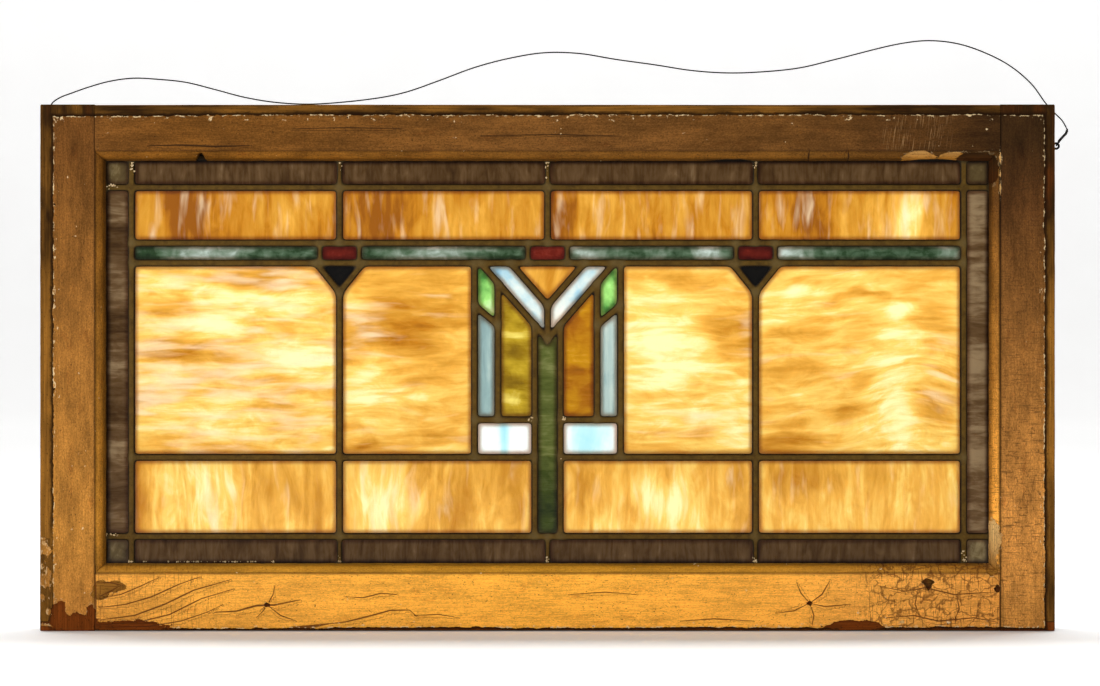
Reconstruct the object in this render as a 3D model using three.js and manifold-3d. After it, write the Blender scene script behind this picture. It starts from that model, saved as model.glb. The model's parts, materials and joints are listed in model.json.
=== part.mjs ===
// Antique leaded glass transom window: a painted softwood sash round a panel of opalescent glass
// in lead came, with two screw eyes and a slack iron wire to hang it by.
// Millimetres. x runs to the viewer's right, y away from the viewer, z up.
// The origin is the middle of the lower edge, halfway through the sash.

import * as THREE from 'three'
import { mergeVertices } from 'three/addons/utils/BufferGeometryUtils.js'
import Module from 'manifold-3d'

const wasm = await Module()
wasm.setup()

// Clearance between pieces that touch in the real window
const gap = 0.3

// Sash
const sashWidth = 914.4
const sashHeight = 474
const sashThickness = 35
const stileFace = 49.5
const topRailFace = 41.8
const bottomRailFace = 51.6

// Moulded inner edge of the sash: a small step, a quarter round and a fillet, then the glass shoulder
const mouldingWidth = 8.8
const mouldingStep = 1.2
const mouldingRound = 8
const mouldingFillet = 1
const mouldingSteps = 5
const shoulderDepth = 13
// How far the blanks of the members run past the moulding before the opening is cut out of them
const mitreOverrun = 2

// Lead came
const leadFace = 6.35
const thinLeadFace = 4.8
const leadHeart = 1.5
const leadFlange = 1.1
const leadBevel = 1.3
const leadBevelFall = 0.5
const edgeLeadCover = 3.5
const glassThickness = 3.2

// Glass layout, from the sight edge of the wood to the middle of each lead line
const sideBorder = 22.3
const topBorder = 23.4
const bottomBorder = 23.7
const topRow = 50.3
const bandRow = 18.1
const bottomRow = 71.6
const redBlock = 35.6

// Dark triangles that hang under the outer red blocks
const triangleWidth = 42.6
const triangleDepth = 26.6

// Tree motif in the middle: a fork of two branches on a stem, leaves, side strips and feet
const forkAngle = 48.8
const forkDepth = 69.2
const forkInnerDepth = 38.2
const leafTop = 5.5
const leafWidth = 21.2
const leafDrop = 38.5
const leafFall = 17.6
const stemWidth = 23.1
const footRow = 34

// Back putty
const puttyHeight = 9

// Screw eyes, each in a bore that starts a little way outside the wood
const eyeWire = 2
const eyeRing = 7
const eyeReach = 5.9
const eyeShank = 17
const boreStart = 1
const eyeSides = 10
// Each eye is set down from the top edge: the right one in the outer edge, forward of the back face,
// and the left one in the back face, in from the outer edge
const rightEyeDrop = 35.4
const rightEyeInset = 5.5
const leftEyeDrop = 33
const leftEyeInset = 13

// Hanging wire
const wireDiameter = 1.3
const wireSteps = 78
const wireSides = 8
const twistDiameter = 2.8
const twistSteps = 8
const loopDiameter = 4.2

// Route of the hanging wire from the end of the left twist to the end of the right twist:
// across from the middle of the sash, behind its back face and above its top edge
const wireRoute = [
  [-455.2, 4.9, -15],
  [-456.2, 4.9, -5],
  [-453.1, 4.9, 4.2],
  [-445.8, 4.7, 9.5],
  [-434.7, 4.5, 13.8],
  [-418.3, 4.3, 19.5],
  [-399.9, 4.1, 24.5],
  [-378.9, 3.9, 27.2],
  [-356, 3.7, 26.2],
  [-330.4, 3.5, 23.4],
  [-303.9, 3.3, 16.8],
  [-276.4, 3.1, 9.6],
  [-249, 2.9, 5.1],
  [-218.8, 2.7, 3.4],
  [-185, 2.5, 5.4],
  [-149.4, 2.5, 9.9],
  [-127.5, 2.5, 14.9],
  [-98.2, 2.5, 25.2],
  [-66.3, 2.5, 37],
  [-34.3, 2.5, 45.4],
  [-2.3, 2.5, 50.4],
  [29.7, 2.5, 49.6],
  [61.6, 2.5, 44.4],
  [98.2, 2.5, 39.3],
  [132, 2.5, 34.1],
  [164.9, 2.5, 31.9],
  [198.7, 2.5, 33.1],
  [230.6, 2.5, 36.6],
  [263.5, 2.5, 44.4],
  [322, 2.5, 58.6],
  [349.4, 2.5, 61.4],
  [376.8, 2.5, 58.1],
  [404.2, 2.5, 48.3],
  [424.3, 2.5, 37.1],
  [442.6, 2.5, 21.2],
  [454.9, 2.7, 4.5],
  [463.7, 2.9, -5.1],
  [469.8, 2.1, -11.4],
  [473.5, 0.7, -18.1],
]

// Worked-out places
const halfWidth = sashWidth / 2
const frontY = -sashThickness / 2
const backY = sashThickness / 2
const flatX = halfWidth - stileFace
const flatTop = sashHeight - topRailFace
const sightX = flatX - mouldingWidth
const sightTop = flatTop - mouldingWidth
const sightBottom = bottomRailFace + mouldingWidth
const shoulderY = frontY + shoulderDepth

const channelHalf = glassThickness / 2 + gap
const leadHalf = channelHalf + leadFlange
const panelY = shoulderY + gap + leadHalf

const edgeX = sightX + edgeLeadCover
const edgeTop = sightTop + edgeLeadCover
const edgeBottom = sightBottom - edgeLeadCover
const borderX = sightX - sideBorder
const quarterX = borderX / 2
const topLine = sightTop - topBorder
const bandTop = topLine - topRow
const bandBottom = bandTop - bandRow
const bottomLine = sightBottom + bottomBorder
const rowLine = bottomLine + bottomRow
const footLine = rowLine + footRow

const forkSlope = Math.tan(THREE.MathUtils.degToRad(forkAngle))
const forkTip = bandBottom - forkDepth
const forkInnerTip = bandBottom - forkInnerDepth
const forkX = forkDepth / forkSlope
const forkInnerX = forkInnerDepth / forkSlope
const treeX = forkX + leafTop
const leafX = treeX - leafWidth
const stemX = stemWidth / 2
const leafHigh = bandBottom - leafDrop
const leafLow = leafHigh - leafFall

const rightEyePlace = new THREE.Vector3(halfWidth, backY - rightEyeInset, sashHeight - rightEyeDrop)
const leftEyePlace = new THREE.Vector3(leftEyeInset - halfWidth, backY, sashHeight - leftEyeDrop)

// Paint and materials
const material = (color, roughness, metalness = 0) =>
  new THREE.MeshStandardMaterial({ color, roughness, metalness })

const materials = {
  tanPaint: material(0xb07d3c, 0.6),
  brownPaint: material(0x6e4b23, 0.65),
  ochrePaint: material(0xd9993f, 0.6),
  russetPaint: material(0x96602f, 0.6),
  lead: material(0x4b4339, 0.55, 0.6),
  iron: material(0x2c2622, 0.5, 0.8),
  putty: material(0xa89a78, 0.9),
  plumGlass: material(0x5f504e, 0.25),
  smokeGlass: material(0x6b6148, 0.25),
  amberGlass: material(0xf2b866, 0.2),
  tealGlass: material(0x5a8a72, 0.2),
  redGlass: material(0x80190f, 0.2),
  blackGlass: material(0x14120f, 0.12),
  whiteGlass: material(0xe1f0f8, 0.2),
  leafGlass: material(0x6cc055, 0.2),
  blueGlass: material(0xa8c0c8, 0.2),
  oliveGlass: material(0xb99a28, 0.2),
  honeyGlass: material(0xc9850c, 0.2),
  aquaGlass: material(0xd8fafc, 0.2),
  stemGlass: material(0x4f6b40, 0.2),
}

// An outline is a list of [x, z] corners, anticlockwise as the viewer sees it.
// Moves each side of an outline inwards by its own distance; side i starts at corner i.
function insetOutline(corners, distances) {
  const count = corners.length
  const sides = corners.map((corner, i) => {
    const next = corners[(i + 1) % count]
    const run = new THREE.Vector2(next[0] - corner[0], next[1] - corner[1]).normalize()
    const distance = distances[i]
    return { x: corner[0] - run.y * distance, z: corner[1] + run.x * distance, run }
  })
  return sides.map((side, i) => {
    const before = sides[(i + count - 1) % count]
    const turn = before.run.x * side.run.y - before.run.y * side.run.x
    const along = ((side.x - before.x) * side.run.y - (side.z - before.z) * side.run.x) / turn
    return [before.x + before.run.x * along, before.z + before.run.y * along]
  })
}

const evenInset = (corners, distance) => insetOutline(corners, corners.map(() => distance))

// A closed solid through rings of [x, z] corners, each at its own depth from the viewer.
// The rings have as many corners each, and its ends are flat.
function loft(rings) {
  const positions = []
  const triangle = (...corners) => corners.forEach(([x, y, z]) => positions.push(x, y, z))
  const at = ({ ring, y }, i) => [ring[i][0], y, ring[i][1]]
  rings.slice(1).forEach((next, k) => {
    next.ring.forEach((corner, i) => {
      const j = (i + 1) % next.ring.length
      triangle(at(rings[k], i), at(next, j), at(rings[k], j))
      triangle(at(rings[k], i), at(next, i), at(next, j))
    })
  })
  const first = rings[0]
  const last = rings[rings.length - 1]
  const contour = first.ring.map(([x, z]) => new THREE.Vector2(x, z))
  for (const [a, b, c] of THREE.ShapeUtils.triangulateShape(contour, [])) {
    triangle(at(first, a), at(first, b), at(first, c))
    triangle(at(last, a), at(last, c), at(last, b))
  }
  const result = new THREE.BufferGeometry()
  return result.setAttribute('position', new THREE.Float32BufferAttribute(positions, 3))
}

// Solid booleans
function toSolid(geometry) {
  const bare = geometry.clone()
  bare.deleteAttribute('normal')
  bare.deleteAttribute('uv')
  const merged = mergeVertices(bare, 1e-4)
  return new wasm.Manifold(new wasm.Mesh({
    numProp: 3,
    vertProperties: new Float32Array(merged.attributes.position.array),
    triVerts: new Uint32Array(merged.index.array),
  }))
}

function fromSolid(solid) {
  const mesh = solid.getMesh()
  const result = new THREE.BufferGeometry()
  result.setAttribute('position', new THREE.BufferAttribute(mesh.vertProperties, 3))
  result.setIndex(new THREE.BufferAttribute(mesh.triVerts, 1))
  return result
}

const cut = (base, ...tools) =>
  fromSolid(tools.reduce((solid, tool) => solid.subtract(toSolid(tool)), toSolid(base)))

const join = (base, ...others) =>
  fromSolid(others.reduce((solid, other) => solid.add(toSolid(other)), toSolid(base)))

// A flat outline given thickness from one depth to another
function slab(corners, fromY, toY) {
  const shape = new THREE.Shape(corners.map(([x, z]) => new THREE.Vector2(x, z)))
  const geometry = new THREE.ExtrudeGeometry(shape, { depth: toY - fromY, bevelEnabled: false })
  return geometry.rotateX(Math.PI / 2).translate(0, toY, 0)
}

// A closed tube with round section along a curve
function tube(curve, diameter, sides, steps) {
  const section = new THREE.Shape()
  section.absarc(0, 0, diameter / 2, 0, Math.PI * 2)
  const shape = new THREE.Shape(section.getSpacedPoints(sides).slice(0, sides))
  return new THREE.ExtrudeGeometry(shape, { steps, extrudePath: curve, bevelEnabled: false })
}

const transom = new THREE.Group()

function addPiece(name, geometry, pieceMaterial) {
  const mesh = new THREE.Mesh(geometry, pieceMaterial)
  mesh.name = name
  transom.add(mesh)
}

// Screw eye: a ring in the plane of x and z, on a pointed shank that runs along -x
const eyeRadius = (eyeRing - eyeWire) / 2

function screwEye() {
  const ring = new THREE.TorusGeometry(eyeRadius, eyeWire / 2, 8, 20).rotateX(Math.PI / 2)
  ring.translate(eyeReach, 0, 0)
  const neck = eyeReach - eyeRadius
  const profile = [
    [0, -eyeShank],
    [eyeWire / 2, -eyeShank + eyeWire * 2],
    [eyeWire / 2, neck],
    [0, neck],
  ].map(([x, y]) => new THREE.Vector2(x, y))
  const shank = new THREE.LatheGeometry(profile, eyeSides).rotateZ(-Math.PI / 2)
  return join(ring, shank)
}

// The hole that takes a screw eye's shank, clear of it all round
function eyeBore() {
  const length = eyeShank + gap + boreStart
  const bore = new THREE.CylinderGeometry(eyeWire / 2 + gap, eyeWire / 2 + gap, length, eyeSides)
  return bore.rotateZ(Math.PI / 2).translate(boreStart - length / 2, 0, 0)
}

const placeRightEye = (geometry) => geometry.translate(...rightEyePlace)

const placeLeftEye = (geometry) => geometry.rotateZ(Math.PI / 2).translate(...leftEyePlace)

// Sash: two stiles the full height, two rails between them, mitred along the moulding
const openingOutline = [
  [-flatX, bottomRailFace],
  [flatX, bottomRailFace],
  [flatX, flatTop],
  [-flatX, flatTop],
]

function mouldingSection() {
  const roundWidth = mouldingWidth - mouldingFillet
  const section = [[0, frontY - mouldingStep]]
  for (let i = 0; i <= mouldingSteps; i += 1) {
    const angle = (i / mouldingSteps) * (Math.PI / 2)
    section.push([
      roundWidth * Math.sin(angle),
      frontY + mouldingStep + mouldingRound * (1 - Math.cos(angle)),
    ])
  }
  section.push([mouldingWidth, frontY + mouldingStep + mouldingRound])
  section.push([mouldingWidth, shoulderY])
  section.push([0, shoulderY])
  section.push([0, backY + mouldingStep])
  return section
}

const openingCutter = () => loft(
  mouldingSection().map(([across, y]) => ({ ring: evenInset(openingOutline, across), y })),
)

function buildSash() {
  const opening = openingCutter()
  const mitre = mouldingWidth + mitreOverrun
  const joint = gap / 2
  const mitreX = flatX - mitre
  const mitreTop = flatTop - mitre
  const mitreBottom = bottomRailFace + mitre

  const leftStile = insetOutline([
    [-halfWidth, 0],
    [-flatX, 0],
    [-flatX, bottomRailFace],
    [-mitreX, mitreBottom],
    [-mitreX, mitreTop],
    [-flatX, flatTop],
    [-flatX, sashHeight],
    [-halfWidth, sashHeight],
  ], [0, joint, joint, 0, joint, joint, 0, 0])
  const rightStile = leftStile.map(([x, z]) => [-x, z]).reverse()

  const bottomRail = insetOutline([
    [-flatX, 0],
    [flatX, 0],
    [flatX, bottomRailFace],
    [mitreX, mitreBottom],
    [-mitreX, mitreBottom],
    [-flatX, bottomRailFace],
  ], [0, joint, joint, 0, joint, joint])

  const topRail = insetOutline([
    [-flatX, flatTop],
    [-mitreX, mitreTop],
    [mitreX, mitreTop],
    [flatX, flatTop],
    [flatX, sashHeight],
    [-flatX, sashHeight],
  ], [joint, 0, joint, joint, 0, joint])

  const board = (corners, ...tools) => cut(slab(corners, frontY, backY), opening, ...tools)
  addPiece('left_stile', board(leftStile, placeLeftEye(eyeBore())), materials.tanPaint)
  addPiece('right_stile', board(rightStile, placeRightEye(eyeBore())), materials.russetPaint)
  addPiece('top_rail', board(topRail), materials.brownPaint)
  addPiece('bottom_rail', board(bottomRail), materials.ochrePaint)
}

// Leaded panel. A cell is the space round one piece of glass: its corners lie on the lead lines,
// and faces gives the width of the lead on each of its sides.
const cells = []

function addCell(name, glass, corners, faces = corners.map(() => leadFace)) {
  cells.push({ name, glass, corners, faces })
}

// An upright rectangle of glass, with the lead widths of its left and right sides
function addPane(name, glass, left, right, bottom, top, leftLead = leadFace, rightLead = leadFace) {
  const corners = [[left, bottom], [right, bottom], [right, top], [left, top]]
  addCell(name, glass, corners, [leadFace, rightLead, leadFace, leftLead])
}

const mirrored = (corners) => corners.map(([x, z]) => [-x, z]).reverse()

function addPair(name, leftGlass, rightGlass, leftCorners) {
  addCell(`${name}_left`, leftGlass, leftCorners)
  addCell(`${name}_right`, rightGlass, mirrored(leftCorners))
}

function planBorder() {
  const stops = [-borderX, -quarterX, 0, quarterX, borderX]
  stops.slice(1).forEach((right, i) => {
    const left = stops[i]
    const leftLead = i === 0 ? leadFace : thinLeadFace
    const rightLead = i === stops.length - 2 ? leadFace : thinLeadFace
    const top = [topLine, edgeTop]
    const bottom = [edgeBottom, bottomLine]
    addPane(`border_top_${i + 1}`, 'plumGlass', left, right, ...top, leftLead, rightLead)
    addPane(`border_bottom_${i + 1}`, 'plumGlass', left, right, ...bottom, leftLead, rightLead)
    addPane(`amber_top_${i + 1}`, 'amberGlass', left, right, bandTop, topLine)
  })
  addPane('corner_top_left', 'smokeGlass', -edgeX, -borderX, topLine, edgeTop)
  addPane('corner_top_right', 'smokeGlass', borderX, edgeX, topLine, edgeTop)
  addPane('corner_bottom_left', 'smokeGlass', -edgeX, -borderX, edgeBottom, bottomLine)
  addPane('corner_bottom_right', 'smokeGlass', borderX, edgeX, edgeBottom, bottomLine)
  addPane('border_side_left', 'plumGlass', -edgeX, -borderX, bottomLine, topLine)
  addPane('border_side_right', 'plumGlass', borderX, edgeX, bottomLine, topLine)
}

function planBand() {
  const reds = [['left', -quarterX], ['centre', 0], ['right', quarterX]]
  const half = redBlock / 2
  const row = [bandBottom, bandTop]
  for (const [side, x] of reds) {
    const leads = [thinLeadFace, thinLeadFace]
    addPane(`red_block_${side}`, 'redGlass', x - half, x + half, ...row, ...leads)
  }
  const starts = [-borderX, ...reds.map(([, x]) => x + half)]
  const ends = [...reds.map(([, x]) => x - half), borderX]
  starts.forEach((start, i) => {
    const leftLead = i === 0 ? leadFace : thinLeadFace
    const rightLead = i === starts.length - 1 ? leadFace : thinLeadFace
    addPane(`green_band_${i + 1}`, 'tealGlass', start, ends[i], ...row, leftLead, rightLead)
  })
}

function planPanes() {
  const half = triangleWidth / 2
  const tip = bandBottom - triangleDepth
  addPair('black_triangle', 'blackGlass', 'blackGlass', [
    [-quarterX, tip],
    [-quarterX + half, bandBottom],
    [-quarterX - half, bandBottom],
  ])
  addPair('amber_outer', 'amberGlass', 'amberGlass', [
    [-borderX, rowLine],
    [-quarterX, rowLine],
    [-quarterX, tip],
    [-quarterX - half, bandBottom],
    [-borderX, bandBottom],
  ])
  addPair('amber_inner', 'amberGlass', 'amberGlass', [
    [-quarterX, rowLine],
    [-treeX, rowLine],
    [-treeX, bandBottom],
    [-quarterX + half, bandBottom],
    [-quarterX, tip],
  ])
  addPane('amber_bottom_1', 'amberGlass', -borderX, -quarterX, bottomLine, rowLine)
  addPane('amber_bottom_2', 'amberGlass', -quarterX, -stemX, bottomLine, rowLine)
  addPane('amber_bottom_3', 'amberGlass', stemX, quarterX, bottomLine, rowLine)
  addPane('amber_bottom_4', 'amberGlass', quarterX, borderX, bottomLine, rowLine)
}

function planTree() {
  const forkAt = (x) => bandBottom - (forkX - x) * forkSlope
  addCell('fork_triangle', 'amberGlass', [
    [0, forkInnerTip],
    [forkInnerX, bandBottom],
    [-forkInnerX, bandBottom],
  ])
  addPair('branch', 'whiteGlass', 'whiteGlass', [
    [-forkX, bandBottom],
    [0, forkTip],
    [0, forkInnerTip],
    [-forkInnerX, bandBottom],
  ])
  addPair('leaf', 'leafGlass', 'leafGlass', [
    [-treeX, leafHigh],
    [-leafX, leafLow],
    [-leafX, forkAt(leafX)],
    [-forkX, bandBottom],
    [-treeX, bandBottom],
  ])
  addPair('side_strip', 'blueGlass', 'blueGlass', [
    [-treeX, footLine],
    [-leafX, footLine],
    [-leafX, leafLow],
    [-treeX, leafHigh],
  ])
  addPair('trunk_side', 'oliveGlass', 'honeyGlass', [
    [-leafX, footLine],
    [-stemX, footLine],
    [-stemX, forkAt(stemX)],
    [-leafX, forkAt(leafX)],
  ])
  addPair('foot', 'aquaGlass', 'aquaGlass', [
    [-treeX, rowLine],
    [-stemX, rowLine],
    [-stemX, footLine],
    [-treeX, footLine],
  ])
  addCell('stem', 'stemGlass', [
    [-stemX, bottomLine],
    [stemX, bottomLine],
    [stemX, forkAt(stemX)],
    [0, forkTip],
    [-stemX, forkAt(stemX)],
  ])
}

// Half of the lead's H section, front to back: how far it reaches from the lead line, and its depth
function leadSection(face) {
  const half = face / 2
  const heart = leadHeart / 2
  const shoulder = leadHalf - leadBevelFall
  return [
    [half - leadBevel, -leadHalf],
    [half, -shoulder],
    [half, -channelHalf],
    [heart, -channelHalf],
    [heart, channelHalf],
    [half, channelHalf],
    [half, shoulder],
    [half - leadBevel, leadHalf],
  ]
}

// The lead's section followed round an outline, on its inner side or, if inwards is -1, its outer one
function leadRings(corners, faces, inwards) {
  const sections = faces.map(leadSection)
  return sections[0].map(([, y], step) => ({
    ring: insetOutline(corners, sections.map((section) => section[step][0] * inwards)),
    y: panelY + y,
  }))
}

function buildLead() {
  const panelOutline = [[-edgeX, edgeBottom], [edgeX, edgeBottom], [edgeX, edgeTop], [-edgeX, edgeTop]]
  const panel = loft(leadRings(panelOutline, panelOutline.map(() => leadFace), -1))
  const openings = cells.map(({ corners, faces }) => {
    const rings = leadRings(corners, faces, 1)
    const front = { ring: rings[0].ring, y: rings[0].y - gap }
    const back = { ring: rings[rings.length - 1].ring, y: rings[rings.length - 1].y + gap }
    return loft([front, ...rings, back])
  })
  addPiece('lead_came', cut(panel, ...openings), materials.lead)
}

function buildGlass() {
  const half = glassThickness / 2
  for (const { name, glass, corners } of cells) {
    const outline = evenInset(corners, leadHeart / 2 + gap)
    addPiece(name, slab(outline, panelY - half, panelY + half), materials[glass])
  }
}

// A fillet of putty behind the panel, all round the rebate
function buildPutty() {
  const foot = panelY + leadHalf + gap
  const top = foot + puttyHeight
  const wall = evenInset(openingOutline, gap)
  const sight = evenInset(openingOutline, mouldingWidth)
  const block = loft([{ ring: wall, y: foot }, { ring: wall, y: top }])
  const opening = loft([
    { ring: sight, y: foot - gap },
    { ring: sight, y: foot },
    { ring: evenInset(openingOutline, gap * 2), y: top },
    { ring: evenInset(openingOutline, gap * 2), y: top + gap },
  ])
  addPiece('glazing_putty', cut(block, opening), materials.putty)
}

// At each eye the wire goes through the ring in a small loop and is twisted round itself.
// The twisted tail ends just short of the wire's end and points along it.
function wireTwist(ringCentre, ringAxis, wireEnd, wireAway) {
  const tailEnd = wireEnd.clone().addScaledVector(wireAway, -gap)
  const pull = tailEnd.clone().sub(ringCentre).projectOnPlane(ringAxis).normalize()
  const loopRadius = loopDiameter / 2
  const loopCentre = ringCentre.clone().addScaledVector(pull, eyeRadius)
  const loop = new THREE.TorusGeometry(loopRadius, wireDiameter / 2, 8, 16)
  const turn = new THREE.Matrix4().makeBasis(pull, ringAxis, pull.clone().cross(ringAxis))
  loop.applyMatrix4(turn).translate(...loopCentre)
  const tailStart = loopCentre.clone().addScaledVector(pull, loopRadius)
  const reach = tailStart.distanceTo(tailEnd) / 3
  const tail = new THREE.CubicBezierCurve3(
    tailStart,
    tailStart.clone().addScaledVector(pull, reach),
    tailEnd.clone().addScaledVector(wireAway, -reach),
    tailEnd,
  )
  return join(loop, tube(tail, twistDiameter, wireSides, twistSteps))
}

function buildFittings() {
  addPiece('screw_eye_right', placeRightEye(screwEye()), materials.iron)
  addPiece('screw_eye_left', placeLeftEye(screwEye()), materials.iron)
  const wire = new THREE.CatmullRomCurve3(wireRoute.map(
    ([across, behind, above]) => new THREE.Vector3(across, backY + behind, sashHeight + above),
  ))
  addPiece('hanging_wire', tube(wire, wireDiameter, wireSides, wireSteps), materials.iron)
  const leftAxis = new THREE.Vector3(1, 0, 0)
  const rightAxis = new THREE.Vector3(0, 1, 0)
  const leftRing = leftEyePlace.clone().addScaledVector(rightAxis, eyeReach)
  const rightRing = rightEyePlace.clone().addScaledVector(leftAxis, eyeReach)
  const leftTwist = wireTwist(leftRing, leftAxis, wire.getPoint(0), wire.getTangent(0))
  const rightTwist = wireTwist(rightRing, rightAxis, wire.getPoint(1), wire.getTangent(1).negate())
  addPiece('wire_twist_left', leftTwist, materials.iron)
  addPiece('wire_twist_right', rightTwist, materials.iron)
}

planBorder()
planBand()
planPanes()
planTree()
buildSash()
buildLead()
buildGlass()
buildPutty()
buildFittings()

export default transom
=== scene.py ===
# Antique leaded glass transom window: the finish of its painted sash, lead came, opalescent glass,
# putty, screw eyes and hanging wire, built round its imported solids.
# Lengths are millimetres up to the moment a mesh is made. x runs to the viewer's right, y away, z up.

import json
import math
from collections import namedtuple

import bmesh
import bpy
import numpy as np
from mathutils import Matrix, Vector


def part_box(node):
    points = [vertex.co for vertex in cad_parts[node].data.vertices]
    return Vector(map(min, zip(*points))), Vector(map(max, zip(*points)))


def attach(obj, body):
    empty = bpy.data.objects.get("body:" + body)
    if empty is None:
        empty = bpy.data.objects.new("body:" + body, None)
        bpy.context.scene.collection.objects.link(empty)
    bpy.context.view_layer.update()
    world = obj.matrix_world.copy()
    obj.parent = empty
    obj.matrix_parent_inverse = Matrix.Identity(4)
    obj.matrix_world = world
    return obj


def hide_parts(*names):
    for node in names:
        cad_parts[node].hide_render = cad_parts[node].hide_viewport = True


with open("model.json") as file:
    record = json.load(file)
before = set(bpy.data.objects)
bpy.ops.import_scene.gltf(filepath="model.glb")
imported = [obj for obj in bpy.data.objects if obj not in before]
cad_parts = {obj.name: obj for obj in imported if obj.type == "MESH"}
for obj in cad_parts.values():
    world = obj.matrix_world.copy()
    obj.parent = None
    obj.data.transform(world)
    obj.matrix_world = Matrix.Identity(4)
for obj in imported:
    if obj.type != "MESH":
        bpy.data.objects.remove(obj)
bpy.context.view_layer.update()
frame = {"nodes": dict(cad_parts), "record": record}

MM = 0.001
X, Y, Z = 0, 1, 2
LOW, HIGH = 0, 1


def edge(node, side, axis):
    """Where a solid ends on one side, in millimetres."""
    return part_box(node)[side][axis] / MM


def between(first, second, axis):
    """The middle of the gap from the first solid's high side to the second solid's low side."""
    return (edge(first, HIGH, axis) + edge(second, LOW, axis)) / 2


# Sash
JOINT = 0.15
half_width = edge("right_stile", HIGH, X)
sash_height = edge("left_stile", HIGH, Z)
front_y = edge("left_stile", LOW, Y)
back_y = edge("left_stile", HIGH, Y)
flat_x = edge("top_rail", HIGH, X) + JOINT
sight_x = -edge("left_stile", HIGH, X)
moulding_width = flat_x - sight_x
sight_top = edge("top_rail", LOW, Z)
flat_top = sight_top + moulding_width
sight_bottom = edge("bottom_rail", HIGH, Z)
flat_bottom = sight_bottom - moulding_width

# Lead lines
LEAD_FACE = 6.35
THIN_LEAD_FACE = 4.8
lead_front = edge("lead_came", LOW, Y)
lead_back = edge("lead_came", HIGH, Y)
edge_x = edge("lead_came", HIGH, X) - LEAD_FACE / 2
edge_top = edge("lead_came", HIGH, Z) - LEAD_FACE / 2
edge_bottom = edge("lead_came", LOW, Z) + LEAD_FACE / 2
border_x = between("amber_top_4", "border_side_right", X)
quarter_x = between("amber_top_3", "amber_top_4", X)
top_line = between("amber_top_1", "border_top_1", Z)
band_top = between("green_band_1", "amber_top_1", Z)
band_bottom = between("amber_outer_left", "green_band_1", Z)
row_line = between("amber_bottom_1", "amber_outer_left", Z)
bottom_line = between("border_bottom_1", "amber_bottom_1", Z)
foot_line = between("foot_left", "trunk_side_left", Z)
red_x = between("red_block_centre", "green_band_3", X)
tree_x = between("side_strip_right", "amber_inner_right", X)
leaf_x = between("trunk_side_right", "side_strip_right", X)
stem_x = between("stem", "foot_right", X)

# The tree motif's slants and depths, and the dark triangles, which repeat the solids' own
FORK_ANGLE = math.radians(48.8)
FORK_DEPTH = 69.2
FORK_INNER_DEPTH = 38.2
LEAF_DROP = 38.5
LEAF_FALL = 17.6
TRIANGLE_WIDTH = 42.6
TRIANGLE_DEPTH = 26.6

# Camera, level with the middle of the sash and square to it
CAMERA_DISTANCE = 2500
CAMERA_X = 2.25
CAMERA_Z = 259.2
VIEW_WIDTH = 990
SENSOR = 36

camera_data = bpy.data.cameras.new("camera")
camera_data.sensor_width = SENSOR
camera_data.lens = SENSOR * CAMERA_DISTANCE / VIEW_WIDTH
camera = bpy.data.objects.new("camera", camera_data)
camera.location = (CAMERA_X * MM, (front_y - CAMERA_DISTANCE) * MM, CAMERA_Z * MM)
camera.rotation_euler = (math.pi / 2, 0, 0)
bpy.context.scene.collection.objects.link(camera)
bpy.context.scene.camera = camera


# Smooth noise and blending on arrays
def value_noise(points, seed):
    """Noise between 0 and 1 at points given in noise cells."""
    cell = np.floor(points).astype(np.int64)
    part = points - cell
    part = part * part * (3 - 2 * part)
    total = np.zeros(len(points))
    for corner in np.ndindex(2, 2, 2):
        spot = cell + np.array(corner)
        mixed = spot[:, 0] * 73856093 ^ spot[:, 1] * 19349663 ^ spot[:, 2] * 83492791 ^ seed * 2971215
        mixed = (mixed ^ (mixed >> 13)) * 1274126177 & 0x7FFFFFFF
        mixed = (mixed ^ (mixed >> 15)) * 668265263 & 0x7FFFFFFF
        chance = (mixed >> 8 & 0xFFFF) / 65535
        weight = np.prod(np.where(np.array(corner) == 1, part, 1 - part), axis=1)
        total += chance * weight
    return total


def fractal(points, seed, octaves=3):
    """Layered noise between 0 and 1."""
    total = sum(value_noise(points * 2 ** k, seed + k) / 2 ** k for k in range(octaves))
    return total / (2 - 2 / 2 ** octaves)


def noise_at(cell, seed, octaves, *parts):
    """Layered noise at flat arrays of millimetres, with a cell size for each."""
    parts = np.broadcast_arrays(*parts)
    sizes = cell if np.ndim(cell) else [cell] * len(parts)
    columns = [part.ravel() / size for part, size in zip(parts, sizes)]
    while len(columns) < 3:
        columns.append(np.full(parts[0].size, 0.37))
    return fractal(np.stack(columns, axis=1), seed, octaves).reshape(parts[0].shape)


def smooth(value, low, high):
    """0 below low, 1 above high and an even ease between them."""
    part = np.clip((value - low) / (high - low), 0, 1)
    return part * part * (3 - 2 * part)


def catmull_rom(points, steps):
    """A curve through all the points, as three.js draws its centripetal one, with even steps a span."""
    points = [np.array(point, float) for point in points]
    points = [2 * points[0] - points[1], *points, 2 * points[-1] - points[-2]]
    curve = []
    for a, b, c, d in zip(points, points[1:], points[2:], points[3:]):
        t1 = np.linalg.norm(b - a) ** 0.5
        t2 = t1 + np.linalg.norm(c - b) ** 0.5
        t3 = t2 + np.linalg.norm(d - c) ** 0.5
        for t in np.linspace(t1, t2, steps, endpoint=False):
            ab = (t1 - t) / t1 * a + t / t1 * b
            bc = (t2 - t) / (t2 - t1) * b + (t - t1) / (t2 - t1) * c
            cd = (t3 - t) / (t3 - t2) * c + (t - t2) / (t3 - t2) * d
            abc = (t2 - t) / t2 * ab + t / t2 * bc
            bcd = (t3 - t) / (t3 - t1) * bc + (t - t1) / (t3 - t1) * cd
            curve.append((t2 - t) / (t2 - t1) * abc + (t - t1) / (t2 - t1) * bcd)
    return np.array([*curve, points[-2]])


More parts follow.
